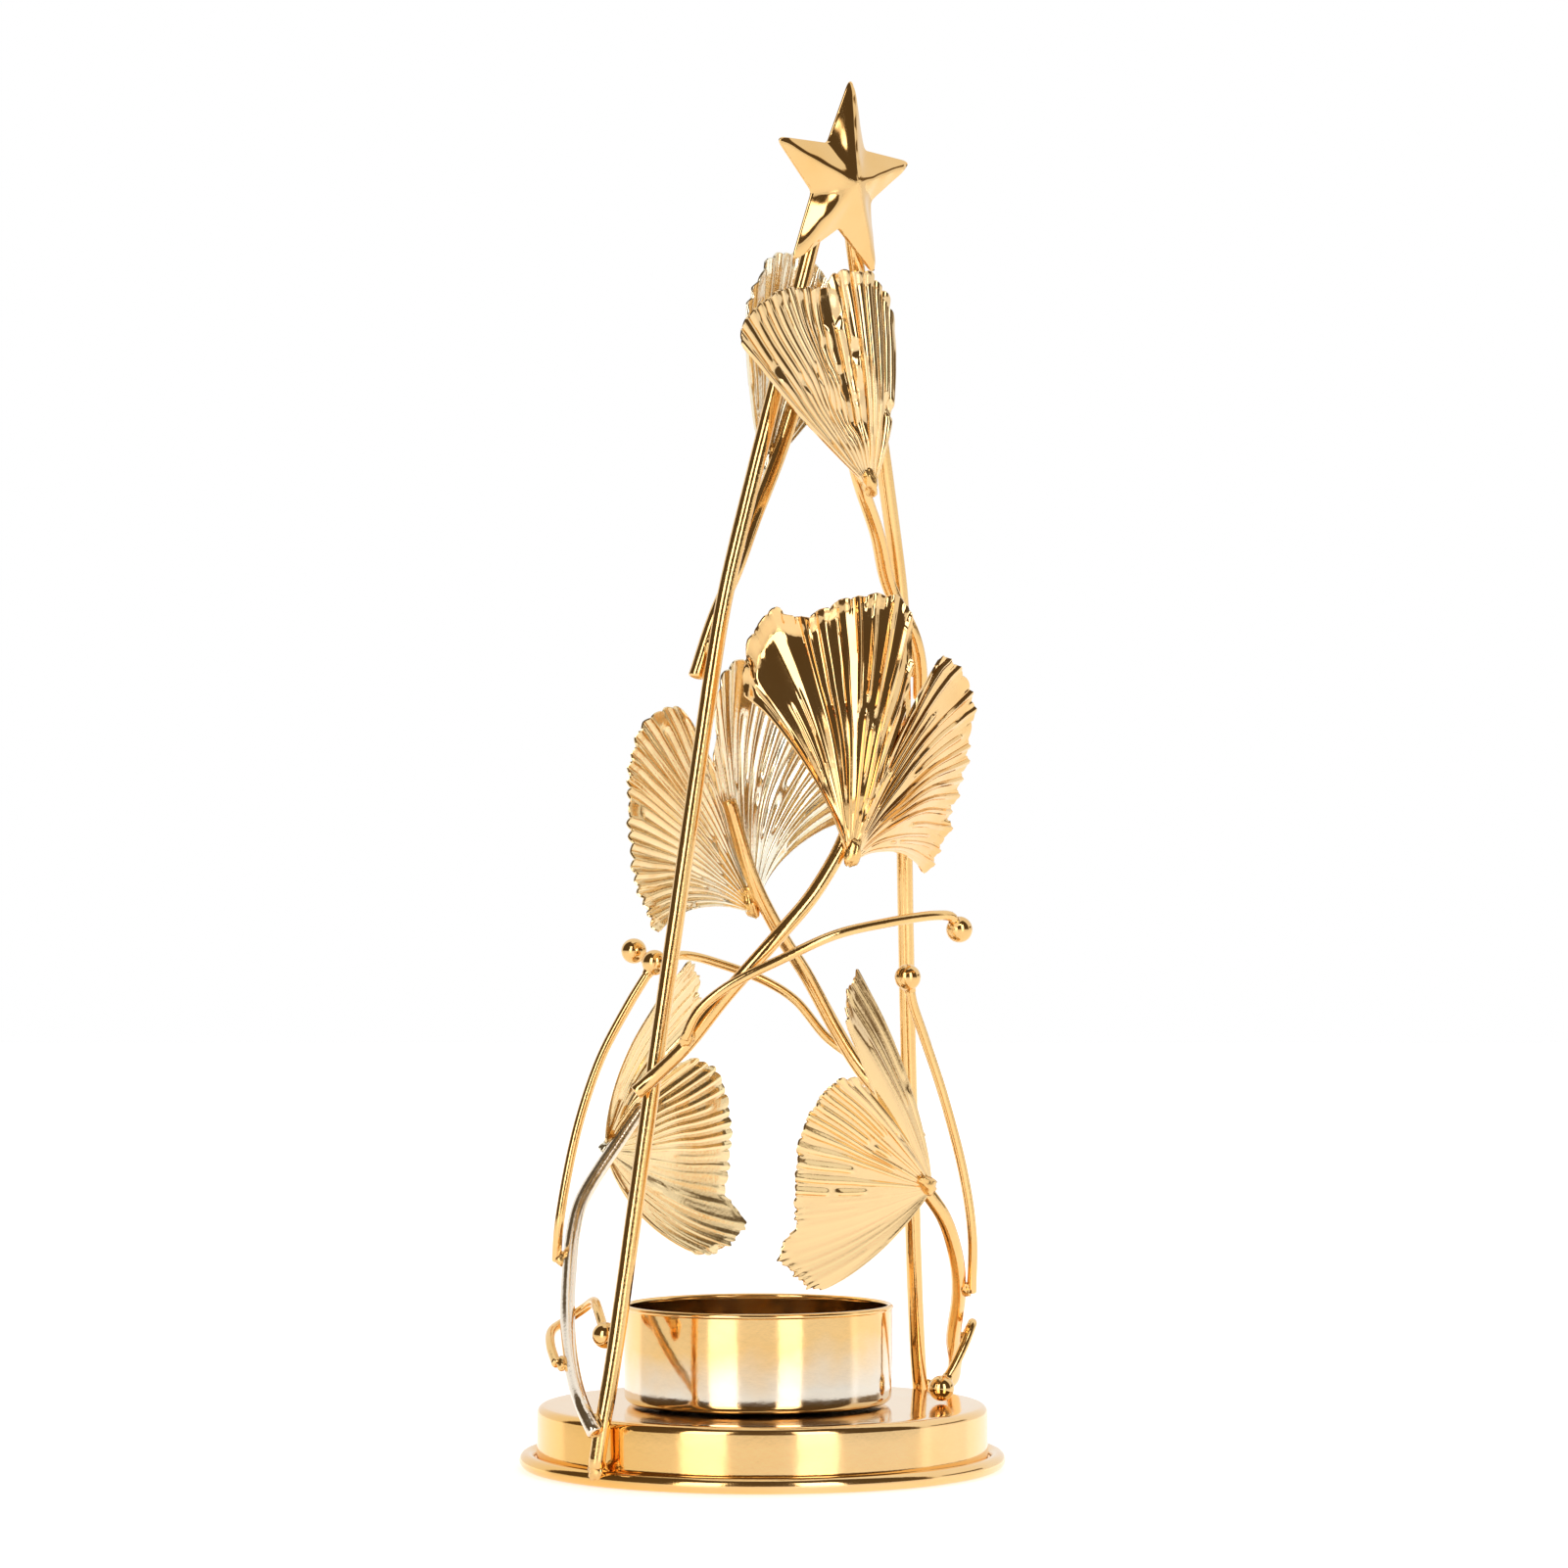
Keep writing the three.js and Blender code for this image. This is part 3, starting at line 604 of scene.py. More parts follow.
def cup():
    z0, t, rim, corner = DRUM_H + GAP, CUP_T, CUP_RIM_R, CUP_CORNER_R
    r = CUP_R - rim + t / 2
    inner = 0.9
    outline = [(0.02, z0)] + arc(r - corner, z0 + corner, corner, -90, 0, 8)
    outline += [(r, z0 + 4), (r + 0.03, z0 + 7), (r, z0 + 10), (r, z0 + 12.5)]
    outline += arc(r - t / 2, z0 + CUP_H - rim, rim, -56, 236, 14)
    outline += [(r - t, z0 + 12), (r - t, z0 + 8), (r - t, z0 + 4)]
    outline += arc(r - t - inner, z0 + t + inner, inner, 0, -90, 5)
    outline += [(15.0, z0 + t), (0.02, z0 + t)]
    lathe("cup", outline[::-1], 192, mat_cup, ["candle_cup"],
          ripple=0.07, shift=CUP_SHIFT)


dish()
foot_ring()
cup()


# Rods, stems, twigs and beads

def rod(name, which, node, seed):
    foot = RING_WIRE + GAP + 0.3
    line = lean([rod_point(which, foot + (APEX_Z - foot) * i / 150) for i in range(151)])
    tube(name, line, ROD_D, mat_wire, [node], 24, 0.03, seed)


def bead(name, centre, toward, node):
    """A ball with a slightly flattened seat and a small solder neck towards its twig."""
    axis = unit(toward - centre)
    r = BEAD_D / 2
    profile = [(0.0, -r * 0.985)]
    profile += [(r * math.sin(a), -r * math.cos(a)) for a in np.linspace(0.16, 2.62, 22)]
    z = profile[-1][1]
    profile += [(0.93, z + 0.12), (0.86, z + 0.35), (0.84, z + 0.62), (0.0, z + 0.72)]
    u = unit(np.cross(axis, [0.2, 0.35, 0.91]))
    w = np.cross(axis, u)
    columns = 32
    verts = [centre + axis * pz + (u * math.cos(a) + w * math.sin(a)) * max(pr, 0.001)
             for pr, pz in profile for a in turns(columns)]
    faces = grid_faces(len(profile), columns, wrap_columns=True)
    make(name, verts, faces, mat_gold, [node], angle=50)


rod("rod_left", ROD_A, "rod_front_left", 1.0)
rod("rod_right", ROD_B, "rod_back_right", 2.0)

for k, (key, points) in enumerate(STEMS.items()):
    material, slot = mat_wire, "gold_plate"
    if key == "lower_left":
        material, slot = mat_stem, "silvery_gold_plate"
    line = curve_points(lean(np.array(points)), 90)
    tube("stem_" + key, line, STEM_D, material, ["leaf_stem_" + key], 20, 0.035, 3.0 + k)

for k, (key, (start, route, ball)) in enumerate(TWIGS.items()):
    end = ball - unit(ball - route[-1]) * (BEAD_D / 2 + 0.05)
    line = curve_points(lean(np.array([beside_stem(*start)] + route + [end])), 70)
    node = "twig_" + key
    tube("twig_vis_" + key, line, TWIG_D, mat_wire, [node], 16, 0.03, 11.0 + k)
    bead("ball_" + key, lean(ball), line[-1], "bead_" + key)


# Leaves

# cord: where a raised cord starts, peaks and ends within one pitch
# valley: half width of the narrow valleys between round cords, in shares of the pitch
# swell: strength of the cords at the left edge, in the middle and at the right edge
# belly: how far the leaf bulges, roll: how far its left and right edges bend forward
# broken: share of the cords with a gap, tooth: height of the scallops on the rim
LEAF_LOOK = {
    "top_front": dict(
        material=mat_top, slot="gold_plate", pitch=1.95, depth=0.42, seed=11, tooth=0.6,
        valley=0.15, swell=(1.0, 1.1, 1.8), belly=1.4, roll=(1.0, 0.4), broken=0.2),
    "top_back": dict(
        material=mat_silvery, slot="pale_gold_plate", pitch=2.0, depth=0.45, seed=12, tooth=0.6,
        cord=(0.05, 0.5, 0.95), belly=1.2, roll=(0.2, 0.2), broken=0.2),
    "middle_front": dict(
        material=mat_leaf, slot="gold_plate", pitch=2.3, depth=0.42, seed=13, tooth=0.7,
        cord=(0.32, 0.42, 0.68), belly=1.0, roll=(0.9, 0.2), broken=0.2),
    "middle_back": dict(
        material=mat_cream, slot="pale_gold_plate", pitch=2.1, depth=0.50, seed=14, tooth=0.6,
        cord=(0.0, 0.55, 1.0), belly=1.2, roll=(0.2, 0.2), broken=0.2),
    "lower_right": dict(
        material=mat_pale, slot="pale_gold_plate", pitch=2.2, depth=0.42, seed=15, tooth=0.6,
        cord=(0.15, 0.45, 0.85), belly=0.3, roll=(0.1, 0.2), broken=0.3),
    "lower_left": dict(
        material=mat_pale_brightened, slot="pale_gold_plate", pitch=2.2, depth=0.15, seed=16, tooth=0.6,
        cord=(0.2, 0.5, 0.8), belly=1.2, roll=(0.1, 0.2), broken=0.3),
}
# share of the rim (from, to) and how strong the cords are there
LEAF_CALM = {
    "middle_front": [(0.0, 0.03, 0.3), (0.03, 0.155, 0.04)],
    "lower_right": [(0.0, 0.36, 0.08), (0.8, 1.01, 0.5)],
    "lower_left": [(0.0, 0.34, 0.4)],
}
# leaves with short streaks halfway out where the cords are calm
LEAF_STREAKS = ("middle_front",)
# leaves seen from the back, where the cords are hollow
LEAF_BACK = ("lower_left",)
# outlines with more notches than the tables that place the stems
LEAF_RIM = {
    "lower_right": [
        (-125, 25, 2.2), (-119, 28, 2.9), (-113, 29.5, 3.2), (-106.5, 31.5, 3.7),
        (-99, 28.2, 4.2), (-91, 28.6, 4.6), (-79, 29.5, 5), (-64, 30, 5.5), (-54, 28.5, 5.5),
        (-41, 19, 0.7), (-37.6, 32.3, 2.6), (-32.2, 34.4, 0.2), (-24.9, 36.1, -1.6)],
    "lower_left": [
        (-130, 27.6, 3.2), (-121, 32, 4.3), (-113, 33.8, 5), (-106, 28.2, 5.3), (-89, 27.5, 5.4),
        (-69, 27.5, 5.5), (-57, 25, 5.5), (-44, 16.5, 1), (-40, 26.5, 2.5), (-31, 31, 0),
        (-23, 32, -2.5)],
}
# share of the rim (from, to), height and length of small teeth
LEAF_TEETH = {
    "middle_front": [(0.0, 0.14, 1.1, 2.2)],
    "lower_right": [(0.0, 0.3, 0.75, 1.15), (0.82, 1.02, 0.9, 1.2)],
    "lower_left": [(0.0, 0.22, 0.8, 1.15), (0.84, 1.02, 0.8, 1.2)],
    "middle_back": [(0.0, 0.1, 0.5, 1.4)],
}
# small hollows: place across, place outward, radius, depth
LEAF_DENTS = {
    "top_front": [
        (0.52, 0.82, 5.0, 1.0), (0.38, 0.52, 3.8, 0.7), (0.50, 0.62, 0.9, 0.30),
        (0.56, 0.5, 0.8, 0.28), (0.56, 0.67, 3.2, 1.2), (0.64, 0.54, 2.6, 0.9),
        (0.47, 0.40, 3.4, 1.2), (0.60, 0.34, 2.6, 0.9), (0.70, 0.44, 2.2, 0.4),
        (0.47, 0.42, 0.7, 0.25), (0.60, 0.33, 0.8, 0.3), (0.42, 0.27, 0.7, 0.28),
        (0.66, 0.42, 0.6, 0.22), (0.53, 0.74, 0.8, 0.25), (0.7, 0.6, 0.7, 0.2)],
    "middle_front": [
        (0.36, 0.2, 0.6, 0.25), (0.42, 0.28, 0.6, 0.22), (0.5, 0.2, 0.5, 0.2)],
}
# share of the rim (from, to) that curls up, height
LEAF_CURL = {
    "middle_front": [(0.0, 0.16, 1.2)],
}
# columns of points on each cord, rows from the foot to the rim, share of the reach at the foot
PER_CORD = 12
LEAF_STEPS = 64
LEAF_FOOT = 0.03
# distance from the foot where the pitch is measured
PITCH_REACH = 32.0
LEAF_HALF = 0.2
EDGE_ROUND = 0.8
# how quickly the bent side edges flatten, in mm
ROLL_WIDTH = 0.9


def smoothstep(a, b, x):
    f = np.clip((x - a) / (b - a), 0, 1)
    return f * f * (3 - 2 * f)


def band(low, high, soft_low, soft_high, x):
    """1 between low and high. Each soft pair says how far before and after that limit it fades."""
    return (smoothstep(low - soft_low[0], low + soft_low[1], x)
            * (1 - smoothstep(high - soft_high[0], high + soft_high[1], x)))


def noise_field(points, scale, seed):
    flat = points.reshape(-1, 3) * scale + seed
    return np.array([noise.noise(Vector(q)) for q in flat]).reshape(points.shape[:-1])


def surface_normals(P):
    return unit(np.cross(np.gradient(P, axis=0), np.gradient(P, axis=1)))


def cord_profile(look, phase):
    """Height of a cord across its pitch, for phases from 0 to 1."""
    if "valley" in look:
        side = np.minimum(phase, 1 - phase) / look["valley"]
        return 0.75 * (1 - np.exp(-side ** 2)) + 0.25 * np.sin(np.pi * phase)
    begins, peak, ends = look["cord"]
    up_side = np.clip((phase - begins) / (peak - begins), 0, 1)
    down_side = np.clip((phase - peak) / (ends - peak), 0, 1)
    falling = 1 - 0.35 * (0.5 - 0.5 * np.cos(np.pi * down_side)) - 0.65 * down_side
    return np.where(phase < peak, 0.5 - 0.5 * np.cos(np.pi * up_side), falling)


def cord_lanes(look, rays, rng):
    """Cords of uneven width, laid out side by side along the rim.

    Returns the middle of each cord as a share of the rim. For each column of points it returns
    the cord it lies on, its phase across that cord, its way along the rim in mm and as a share,
    and its place in the table of rays.
    """
    dense = np.linspace(0, 1, 1601)
    fan = np.radians(np.abs(np.gradient(smooth_rows(rays, dense)[:, 0]))) * PITCH_REACH
    run = np.concatenate([[0], np.cumsum((fan[1:] + fan[:-1]) / 2)])
    widths = []
    while sum(widths) < run[-1]:
        widths.append(look["pitch"] * rng.uniform(0.84, 1.16))
    edges = np.concatenate([[0], np.cumsum(widths)])
    edges *= run[-1] / edges[-1]
    count = len(widths)
    steps = np.arange(PER_CORD) / PER_CORD
    way = [a + (b - a) * steps for a, b in zip(edges[:-1], edges[1:])]
    way = np.concatenate(way + [[run[-1]]])
    which = np.minimum(np.repeat(np.arange(count + 1), PER_CORD)[:len(way)], count - 1)
    phase = (way - edges[which]) / (edges[which + 1] - edges[which])
    middle = (edges[:-1] + edges[1:]) / 2 / run[-1]
    return middle, which, phase, way, way / run[-1], np.interp(way, run, dense)


def narrow_foot(S):
    """Fades relief out towards the foot, where the leaf is narrow."""
    return np.clip(S * 2.4, 0, 1)


def cord_heights(key, look, middle, which, phase, S, rng):
    """Height of the cords, each with its own start, end, gap and strength."""
    count = len(middle)
    near, far = rng.uniform(0.05, 0.14, count), rng.uniform(0.24, 0.6, count)
    start = np.where(np.arange(count) % 2 == 0, near, far)
    strong = rng.uniform(0.85, 1.12, count)
    stop = np.where(rng.random(count) < 0.15, rng.uniform(0.78, 0.95, count), 1.5)
    gap = np.where(rng.random(count) < look["broken"], rng.uniform(0.25, 0.75, count), 3.0)
    streak = np.zeros(count)
    for low, high, kept in LEAF_CALM.get(key, ()):
        inside = (middle >= low) & (middle < high)
        if key in LEAF_STREAKS:
            streak = np.where(inside & (rng.random(count) < 0.7), 0.45 - kept, streak)
        strong = np.where(inside, strong * kept, strong)
    strong = strong * np.interp(middle, (0.0, 0.5, 1.0), look.get("swell", (1.0, 1.0, 1.0)))
    begin, end, power, hole, short = (v[which][:, None] for v in (start, stop, strong, gap, streak))
    envelope = band(begin, end, (0.02, 0.05), (0.03, 0.01), S)
    envelope = envelope * (1 - band(hole, hole + 0.03, (0.035, 0.0), (0.0, 0.035), S))
    short = band(0.34, 0.66, (0.0, 0.05), (0.0, 0.06), S) * short
    envelope = envelope + short / np.maximum(power, 1e-6)
    return look["depth"] * power * envelope * narrow_foot(S) * cord_profile(look, phase)[:, None]


def wander(way, T, S, seed):
    """Small sideways drift of the cords on their way outward."""
    lane = np.repeat(way[:, None], LEAF_STEPS, axis=1)
    spots = np.stack([lane * 0.12, S * 2.6, np.zeros_like(S)], axis=2)
    return 0.010 * noise_field(spots, 1.0, seed * 1.7) * band(0.0, 1.0, (0.0, 0.06), (0.06, 0.0), T)


def rim_teeth(key, seed, scallop, phase, way, share):
    """How far the rim reaches out: a scallop on each cord and small teeth in places."""
    tooth = scallop * np.abs(np.sin(np.pi * phase)) ** 0.6
    for low, high, tall, long in LEAF_TEETH.get(key, ()):
        jag = 2 * np.abs(way / long - np.floor(way / long + 0.5))
        jag = jag * (0.7 + 0.5 * np.sin(way * 1.9 + seed))
        here = band(low, high, (0.02, 0.01), (0.03, 0.02), share)
        tooth = tooth * (1 - 0.7 * here) + tall * jag * here
    return tooth


def waves(key, P, S, share, seed):
    """Broad waves, fine unevenness and small hollows of the sheet."""
    calm = np.ones(len(share))
    for low, high, _ in LEAF_CALM.get(key, ()):
        calm = np.minimum(calm, 1 - 0.8 * band(low, high, (0.02, 0.02), (0.02, 0.02), share))
    fine = 0.018 * noise_field(P, 0.5, seed * 2.0) * narrow_foot(S)
    wave = (0.30 * noise_field(P, 0.11, seed) + fine) * calm[:, None]
    last_column, last_row = P.shape[0] - 1, P.shape[1] - 1
    for across, outward, radius, deep in LEAF_DENTS.get(key, ()):
        centre = P[int(across * last_column), int(outward * last_row)]
        wave = wave - deep * np.exp(-(np.linalg.norm(P - centre, axis=2) / radius) ** 2)
    return wave


def rim_curl(key, tips, S, share):
    """Bend of the rim forward or back, cord by cord, and the corners that curl up."""
    curl = 0.45 * smoothstep(0.94, 1.0, S) * tips[:, None]
    for low, high, tall in LEAF_CURL.get(key, ()):
        here = band(low, high, (0.03, 0.02), (0.04, 0.04), share)
        curl = curl + (tall * here)[:, None] * smoothstep(0.91, 1.0, S) ** 1.5
    return curl


def side_roll(look, P):
    """Forward bend along the left and right edges."""
    left, right = (np.linalg.norm(P - side, axis=2) / ROLL_WIDTH for side in (P[:1], P[-1:]))
    return look["roll"][0] * np.exp(-left ** 2) + look["roll"][1] * np.exp(-right ** 2)


def leaf(key):
    look = LEAF_LOOK[key]
    spec = LEAVES[key]
    if key in LEAF_RIM:
        spec = spec[:3] + (LEAF_RIM[key],)
    seed = look["seed"]
    rng = np.random.default_rng(seed)
    middle, which, phase, way, share, t = cord_lanes(look, spec[3], rng)
    s = LEAF_FOOT + (1 - LEAF_FOOT) * np.linspace(0, 1, LEAF_STEPS)
    T, S = np.meshgrid(t, s, indexing="ij")
    height = cord_heights(key, look, middle, which, phase, S, rng)
    T = np.clip(T + wander(way, T, S, seed), 0, 1)
    scallop = look["tooth"] * rng.uniform(0.4, 1.25, len(middle))[which]
    tooth = rim_teeth(key, seed, scallop, phase, way, share) - 0.5 * look["tooth"]
    grow = 1 + (tooth / smooth_rows(spec[3], t)[:, 1])[:, None] * smoothstep(0.86, 1.0, S)
    bulge = ((look["belly"] - LEAF_BELLY) * np.sin(np.pi * S))[..., None]
    P = lean(leaf_point(spec, T, S, grow) + heading(spec[1]) * bulge)
    crest = np.clip(np.abs(height) / look["depth"], 0, 1)
    if key in LEAF_BACK:
        height = -height
    tips = rng.uniform(-0.3, 1.0, len(middle))[which]
    lift = (height + waves(key, P, S, share, seed) * smoothstep(0.03, 0.25, S)
            + rim_curl(key, tips, S, share) + side_roll(look, P) * smoothstep(0.02, 0.15, S))
    P = P + surface_normals(P) * lift[..., None]
    leaf_sheet("leaf_vis_" + key, P, crest, look["material"], "leaf_" + key)


def leaf_sheet(name, P, crest, material, node):
    """Two faces either side of a grid of points, joined by a rounded edge."""
    N = surface_normals(P)
    across, along = np.gradient(P, axis=0), np.gradient(P, axis=1)
    nt, ns = P.shape[:2]
    base = nt * ns
    out = LEAF_HALF * EDGE_ROUND
    outermost = P.copy()
    outermost[0] = P[0] - unit(across[0]) * out
    outermost[-1] = P[-1] + unit(across[-1]) * out
    outermost[:, 0] = P[:, 0] - unit(along[:, 0]) * out
    outermost[:, -1] = P[:, -1] + unit(along[:, -1]) * out
    border = [(i, 0) for i in range(nt)] + [(nt - 1, j) for j in range(1, ns)]
    border += [(i, ns - 1) for i in range(nt - 2, -1, -1)] + [(0, j) for j in range(ns - 2, 0, -1)]
    rows, columns = (list(v) for v in zip(*border))
    faces = grid_faces(nt, ns) + grid_faces(nt, ns, base=base, flip=True)
    n = len(border)
    for k in range(n):
        after = (k + 1) % n
        a, b = rows[k] * ns + columns[k], rows[after] * ns + columns[after]
        c, d = 2 * base + k, 2 * base + after
        faces.append((a, c, d, b))
        faces.append((c, base + a, base + b, d))
    verts = np.concatenate([(P + N * LEAF_HALF).reshape(-1, 3), (P - N * LEAF_HALF).reshape(-1, 3),
                            outermost[rows, columns]])
    # relief holds the cord height, which the leaf materials turn into painted shade in the valleys
    flat = crest.reshape(-1)
    relief = np.concatenate([flat, flat, crest[rows, columns]])
    make(name, verts, faces, material, [node], angle=65, relief=relief)


for key in LEAVES:
    leaf(key)


# Star

STAR_R = 16.5
STAR_WAIST = 0.415
STAR_PEAK = 3.4
STAR_SKIRT = 1.1
STAR_RISE = 4.0
STAR_AZ = -42.5
STAR_TILT = 7.0
STAR_SLIP = -2.2
STAR_SEAT = 0.8
TIP_CUT = 2.5
WAIST_CUT = 0.7
SHEET_BACK = 0.5


def star_corners():
    """Tips and waists in turn, from the top tip."""
    corners = []
    for i in range(10):
        a = math.radians(90 + i * 36)
        r = STAR_R if i % 2 == 0 else STAR_R * STAR_WAIST
        corners.append((r * math.cos(a), r * math.sin(a)))
    return np.array(corners)


def star_outline(corners):
    """Outline with rounded tips and tighter inner corners."""
    outline = []
    for i in range(10):
        a, b, c = corners[i - 1], corners[i], corners[(i + 1) % 10]
        cut, next_cut = (TIP_CUT, WAIST_CUT) if i % 2 == 0 else (WAIST_CUT, TIP_CUT)
        onward = unit(c - b)
        p, q = b + unit(a - b) * cut, b + onward * cut
        for f in np.arange(9) / 8.0:
            outline.append((1 - f) ** 2 * p + 2 * f * (1 - f) * b + f ** 2 * q)
        stop = c - onward * next_cut
        for f in np.arange(1, 14) / 14.0:
            outline.append(q + (stop - q) * f)
    return np.array(outline)


def star_height(xy, corners):
    """Share of the peak's height on a ten-sided pyramid, averaged over a small disc."""
    spots = [(0.0, 0.0, 2.0)] + [(r * math.cos(a), r * math.sin(a), 1.0)
                                 for r in (0.5, 1.0, 1.5) for a in turns(12)]
    total = np.zeros(len(xy))
    for dx, dy, weight in spots:
        x, y = xy[:, 0] + dx, xy[:, 1] + dy
        best = np.zeros(len(xy))
        for a, b in zip(corners, np.roll(corners, -1, axis=0)):
            det = a[0] * b[1] - a[1] * b[0]
            u = (x * b[1] - y * b[0]) / det
            v = (a[0] * y - a[1] * x) / det
            best = np.where((u >= -1e-9) & (v >= -1e-9), 1 - (u + v), best)
        total += weight * best
    return total / sum(weight for _, _, weight in spots)


def star():
    corners = star_corners()
    edge = star_outline(corners)
    n = len(edge)
    step = np.roll(edge, -1, axis=0) - np.roll(edge, 1, axis=0)
    outward = unit(np.column_stack([step[:, 1], -step[:, 0]]))
    rows = []
    for rho in np.concatenate([np.linspace(0.0, 0.9, 30), np.linspace(0.92, 0.985, 5)]):
        xy = edge * max(rho, 0.002)
        far = np.linalg.norm(xy, axis=1) / STAR_R
        bend = 0.12 * np.array([noise.noise(Vector((x * 0.35, y * 0.35, 4.2))) for x, y in xy])
        bend -= 0.6 * np.clip((far - 0.8) / 0.2, 0, 1) ** 2
        rows.append(np.column_stack([xy, STAR_SKIRT + STAR_PEAK * star_height(xy, corners) + bend]))
    # inset and height of the turned-back skirt, round its lower edge
    for inset, z in ((0.10, STAR_SKIRT - 0.16), (0.02, STAR_SKIRT - 0.26), (0.0, STAR_SKIRT - 0.4),
                     (0.0, 0.68), (0.05, 0.56), (0.16, 0.5), (0.36, 0.5), (0.46, 0.6),
                     (SHEET_BACK, STAR_SKIRT - 0.5)):
        rows.append(np.column_stack([edge - outward * inset, np.full(n, z)]))
    # the hollow back
    for rho in np.linspace(0.9, 0.0, 16):
        xy = (edge - outward * SHEET_BACK) * max(rho, 0.002)
        z = STAR_SKIRT - 0.55 + STAR_PEAK * star_height(xy, corners) * 0.98
        rows.append(np.column_stack([xy, z]))
    local = np.concatenate(rows)
    front = heading(STAR_AZ)
    right = np.cross(UP, front)
    tilt = math.radians(STAR_TILT)
    # pitched about its own left-right axis
    tall = UP * math.cos(tilt) + front * math.sin(tilt)
    facing = front * math.cos(tilt) - UP * math.sin(tilt)
    origin = (lean([0.0, 0.0, APEX_Z + STAR_RISE]) + front * (ROD_D / 2 + GAP + STAR_SEAT)
              + right * STAR_SLIP)
    verts = origin + local[:, :1] * right + local[:, 1:2] * tall + local[:, 2:3] * facing
    faces = grid_faces(len(rows), n, wrap_columns=True, flip=True)
    make("star", verts, faces, mat_gold, ["star_topper"], angle=42)


star()


# Weld lumps at the joints

def weld(name, a, b, axis, long, wide, seed):
    lump("weld_" + name, (lean(a) + lean(b)) / 2, axis, long, wide, seed)


def nearest_on_stem(key, point):
    """The stem's point nearest to another, and the stem's direction there."""
    line = stem_line(key)
    k = int(np.argmin(np.linalg.norm(line - point, axis=1)))
    return line[k], way_along(line, k, 3)


ring_mid = DRUM_R + GAP + RING_WIRE / 2
weld("foot_left", rod_point(ROD_A, 3.2), at(228.5, ring_mid, 1.8), UP, 1.6, 1.55, 0.3)
weld("foot_right", rod_point(ROD_B, 3.2), at(47.5, ring_mid, 1.8), UP, 1.6, 1.5, 0.9)
for k, (key, which, z) in enumerate([
        ("lower_left", ROD_A, 9.3), ("lower_right", ROD_B, 9.8), ("middle_front", ROD_A, 61.0),
        ("middle_back", ROD_B, 52.0), ("top_front", ROD_B, 124.5), ("top_back", ROD_A, 126.0)]):
    p = rod_point(which, z)
    q, axis = nearest_on_stem(key, p)
    weld("rod_" + key, p, q, UP * 0.6 + axis, 1.5, 1.0, 1.3 + k * 0.7)
for k, ((key, share, side), _, _) in enumerate(TWIGS.values()):
    line = stem_line(key)
    i = int(round(share * STEM_STEPS))
    q = beside_stem(key, share, side)
    weld("twig_%d" % k, line[i] * 0.8 + q * 0.2, q, way_along(line, i, 3), 1.35, 1.0, 6.1 + k * 0.8)
for k, (key, spec) in enumerate(LEAVES.items()):
    p = leaf_point(spec, 0.5, 0.09)
    q, axis = nearest_on_stem(key, p)
    weld("leaf_" + key, p, q, axis, 2.0, 1.05, 12.5 + k * 0.9)
for k, (key, spec) in enumerate(LEAVES.items()):
    inner, outer = lean(leaf_point(spec, 0.5, 0.02)), lean(leaf_point(spec, 0.5, 0.16))
    way = unit(outer - inner)
    lump("leaf_foot_" + key, inner + way * 0.9, way, 2.3, 1.25, 30.5 + k,
         silvery=key in ("top_back", "lower_left"))


# Studio: a white floor and a pale tent with two dark patches and two bright strips

FLOOR_HALF = 3.0
FLOOR_COLOR = (0.93, 0.93, 0.93)
SHOWN_LIFT = 0.62
GLOSSY_LIFT = 0.56
TENT_LEVEL = 0.92
WHITE = (1.0, 1.0, 1.0)
SHADE_TINT = (1.0, 0.72, 0.42)
# azimuth from, to and its fade, elevation from, to and its fade, in degrees, and the level there
DARK_PATCHES = (
    (-118, 85, 6, 2, 72, 2, 0.10),
    (98, 126, 4, 8, 14, 2, 0.16),
)
BRIGHT_STRIPS = (
    (-40, -19, 3, 4, 38, 4, 2.9),
    (19, 37, 3, 4, 38, 4, 2.9),
)


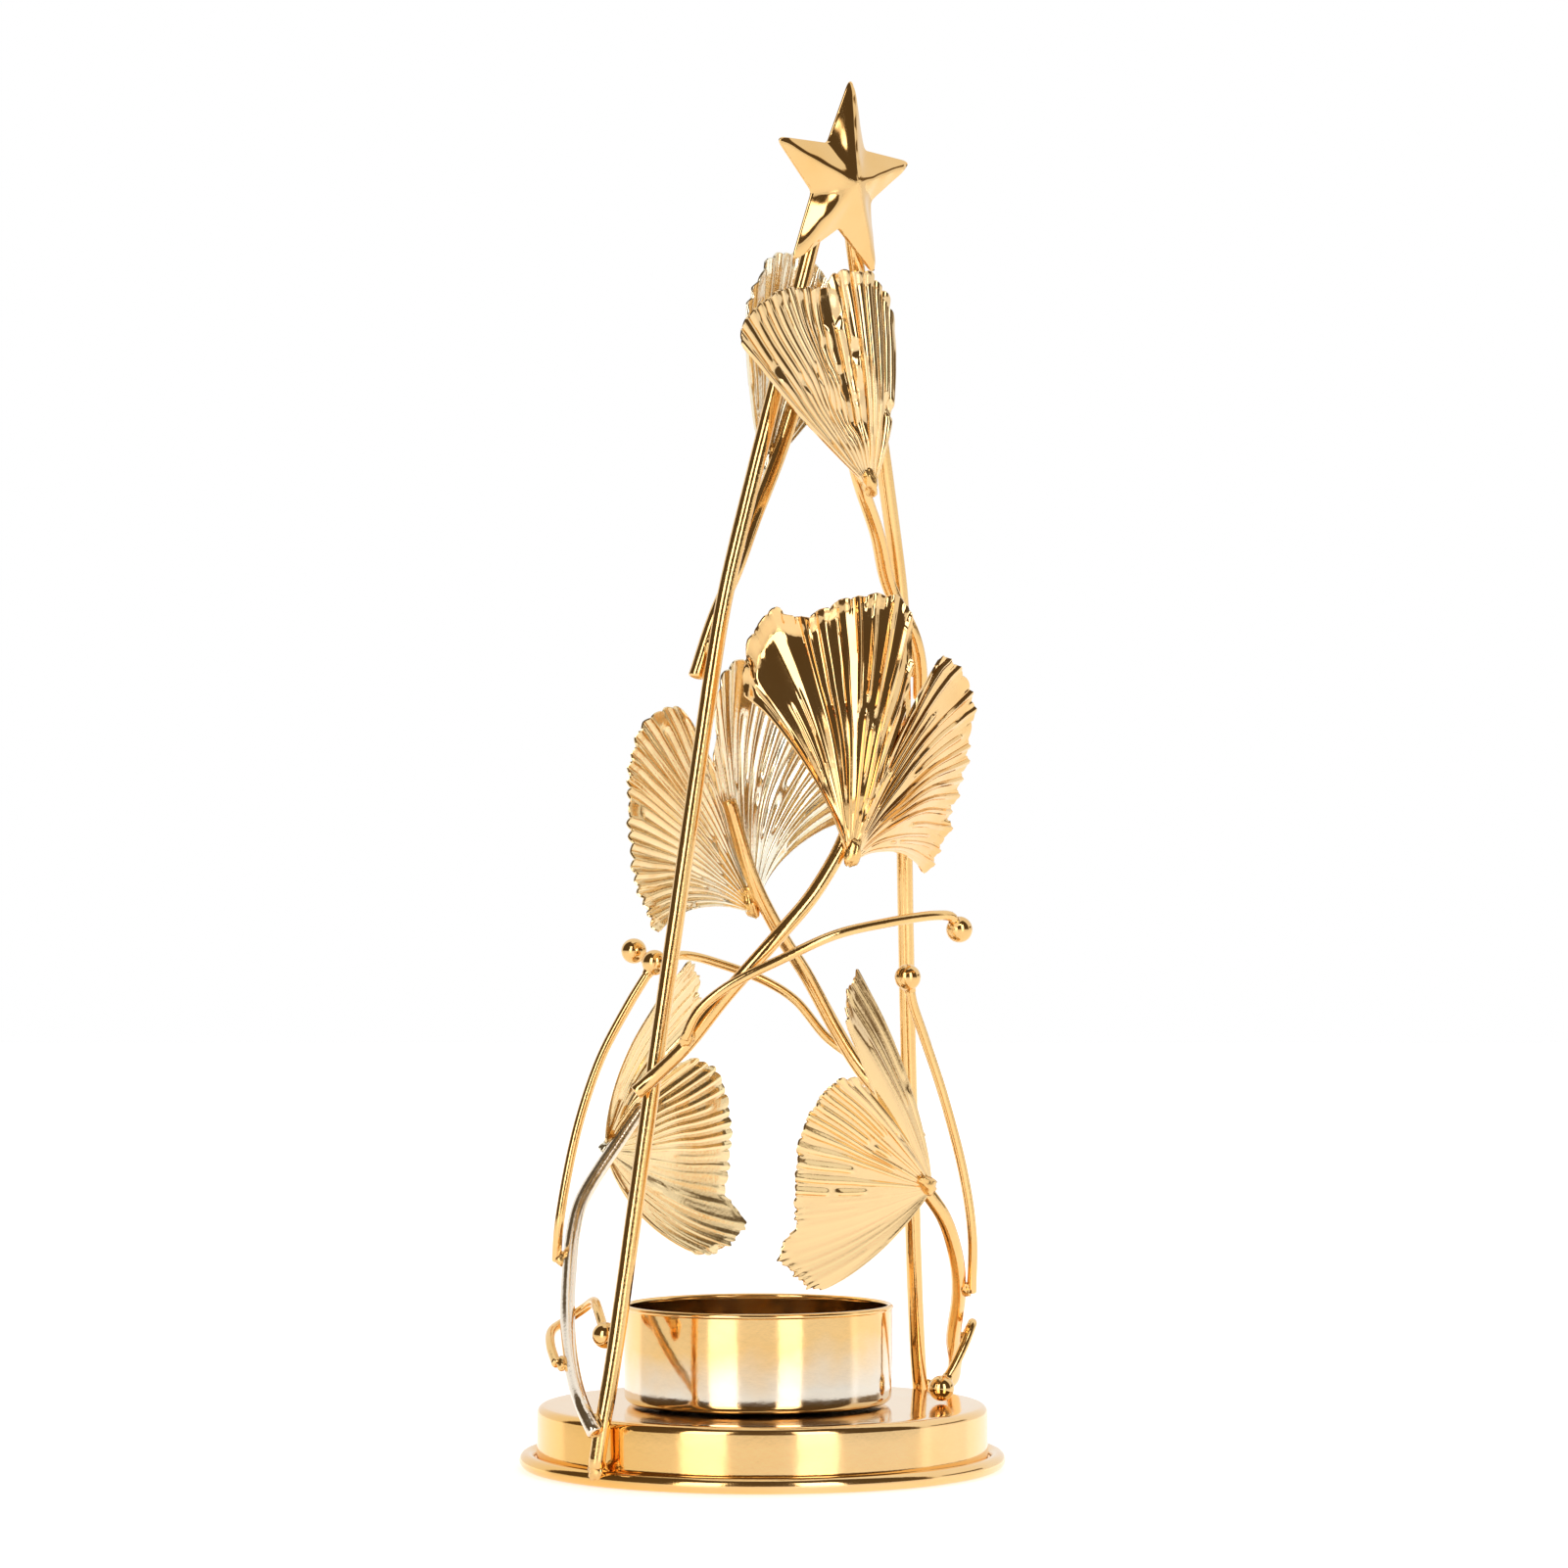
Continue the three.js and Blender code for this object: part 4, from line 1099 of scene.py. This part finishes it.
def studio_floor():
    mesh = bpy.data.meshes.new("floor")
    h = FLOOR_HALF
    mesh.from_pydata([(-h, -h, 0), (h, -h, 0), (h, h, 0), (-h, h, 0)], [], [(0, 1, 2, 3)])
    floor = bpy.data.objects.new("floor", mesh)
    floor.location.z = -0.0002
    bpy.context.scene.collection.objects.link(floor)
    mat, tree, out = new_material("floor_white")
    path = tree.nodes.new("ShaderNodeLightPath")
    glossy = path.outputs["Is Glossy Ray"]
    lift = math_node(tree, "MULTIPLY_ADD", glossy, GLOSSY_LIFT,
                     math_node(tree, "MULTIPLY", path.outputs["Is Camera Ray"], SHOWN_LIFT))
    diffuse = add_node(tree, "ShaderNodeBsdfDiffuse", {"Color": FLOOR_COLOR})
    glow = add_node(tree, "ShaderNodeEmission", {"Strength": lift})
    sheen = add_node(tree, "ShaderNodeBsdfGlossy", {"Roughness": 0.22})
    fresnel = add_node(tree, "ShaderNodeFresnel", {"IOR": 1.18})
    share = math_node(tree, "MULTIPLY", fresnel.outputs[0], glossy)
    polished = add_node(tree, "ShaderNodeMixShader", {
        0: share, 1: diffuse.outputs[0], 2: sheen.outputs[0]})
    both = add_node(tree, "ShaderNodeAddShader", {0: polished.outputs[0], 1: glow.outputs[0]})
    tree.links.new(both.outputs[0], out.inputs["Surface"])
    mesh.materials.append(mat)


def world():
    tent = bpy.data.worlds.new("tent")
    bpy.context.scene.world = tent
    tent.use_nodes = True
    tree = tent.node_tree
    tree.nodes.clear()
    out = tree.nodes.new("ShaderNodeOutputWorld")
    x, y, z = parts_of(tree, tree.nodes.new("ShaderNodeTexCoord").outputs["Generated"])
    turn = math_node(tree, "ARCTAN2", x, math_node(tree, "MULTIPLY", y, -1.0))
    azimuth = math_node(tree, "MULTIPLY", turn, 180 / math.pi)
    elevation = math_node(tree, "MULTIPLY", math_node(tree, "ARCSINE", z), 180 / math.pi)

    def window(value, low, high, soft):
        """1 between low and high degrees, fading over soft degrees outside."""
        rise = map_range(tree, value, (low - soft, low), smooth=True)
        fall = map_range(tree, value, (high, high + soft), (1.0, 0.0), smooth=True)
        return math_node(tree, "MULTIPLY", rise, fall)

    level = TENT_LEVEL
    shade = 0.0
    strips = []
    for patch in DARK_PATCHES + BRIGHT_STRIPS:
        across, upward = window(azimuth, *patch[:3]), window(elevation, *patch[3:6])
        mask = math_node(tree, "MULTIPLY", across, upward)
        if patch in DARK_PATCHES:
            shade = math_node(tree, "ADD", shade, mask)
        else:
            strips.append(mask)
        around = math_node(tree, "MULTIPLY", math_node(tree, "SUBTRACT", 1.0, mask), level)
        level = math_node(tree, "MULTIPLY_ADD", mask, patch[6], around)
    wall = mix_colors(tree, shade, WHITE, SHADE_TINT)
    for strip in strips:
        wall = mix_colors(tree, strip, wall, WHITE)
    lit = add_node(tree, "ShaderNodeEmission", {"Strength": level, "Color": wall})
    white = tree.nodes.new("ShaderNodeEmission")
    path = tree.nodes.new("ShaderNodeLightPath")
    pick = add_node(tree, "ShaderNodeMixShader", {
        0: path.outputs["Is Camera Ray"], 1: lit.outputs[0], 2: white.outputs[0]})
    tree.links.new(pick.outputs[0], out.inputs["Surface"])


studio_floor()
world()
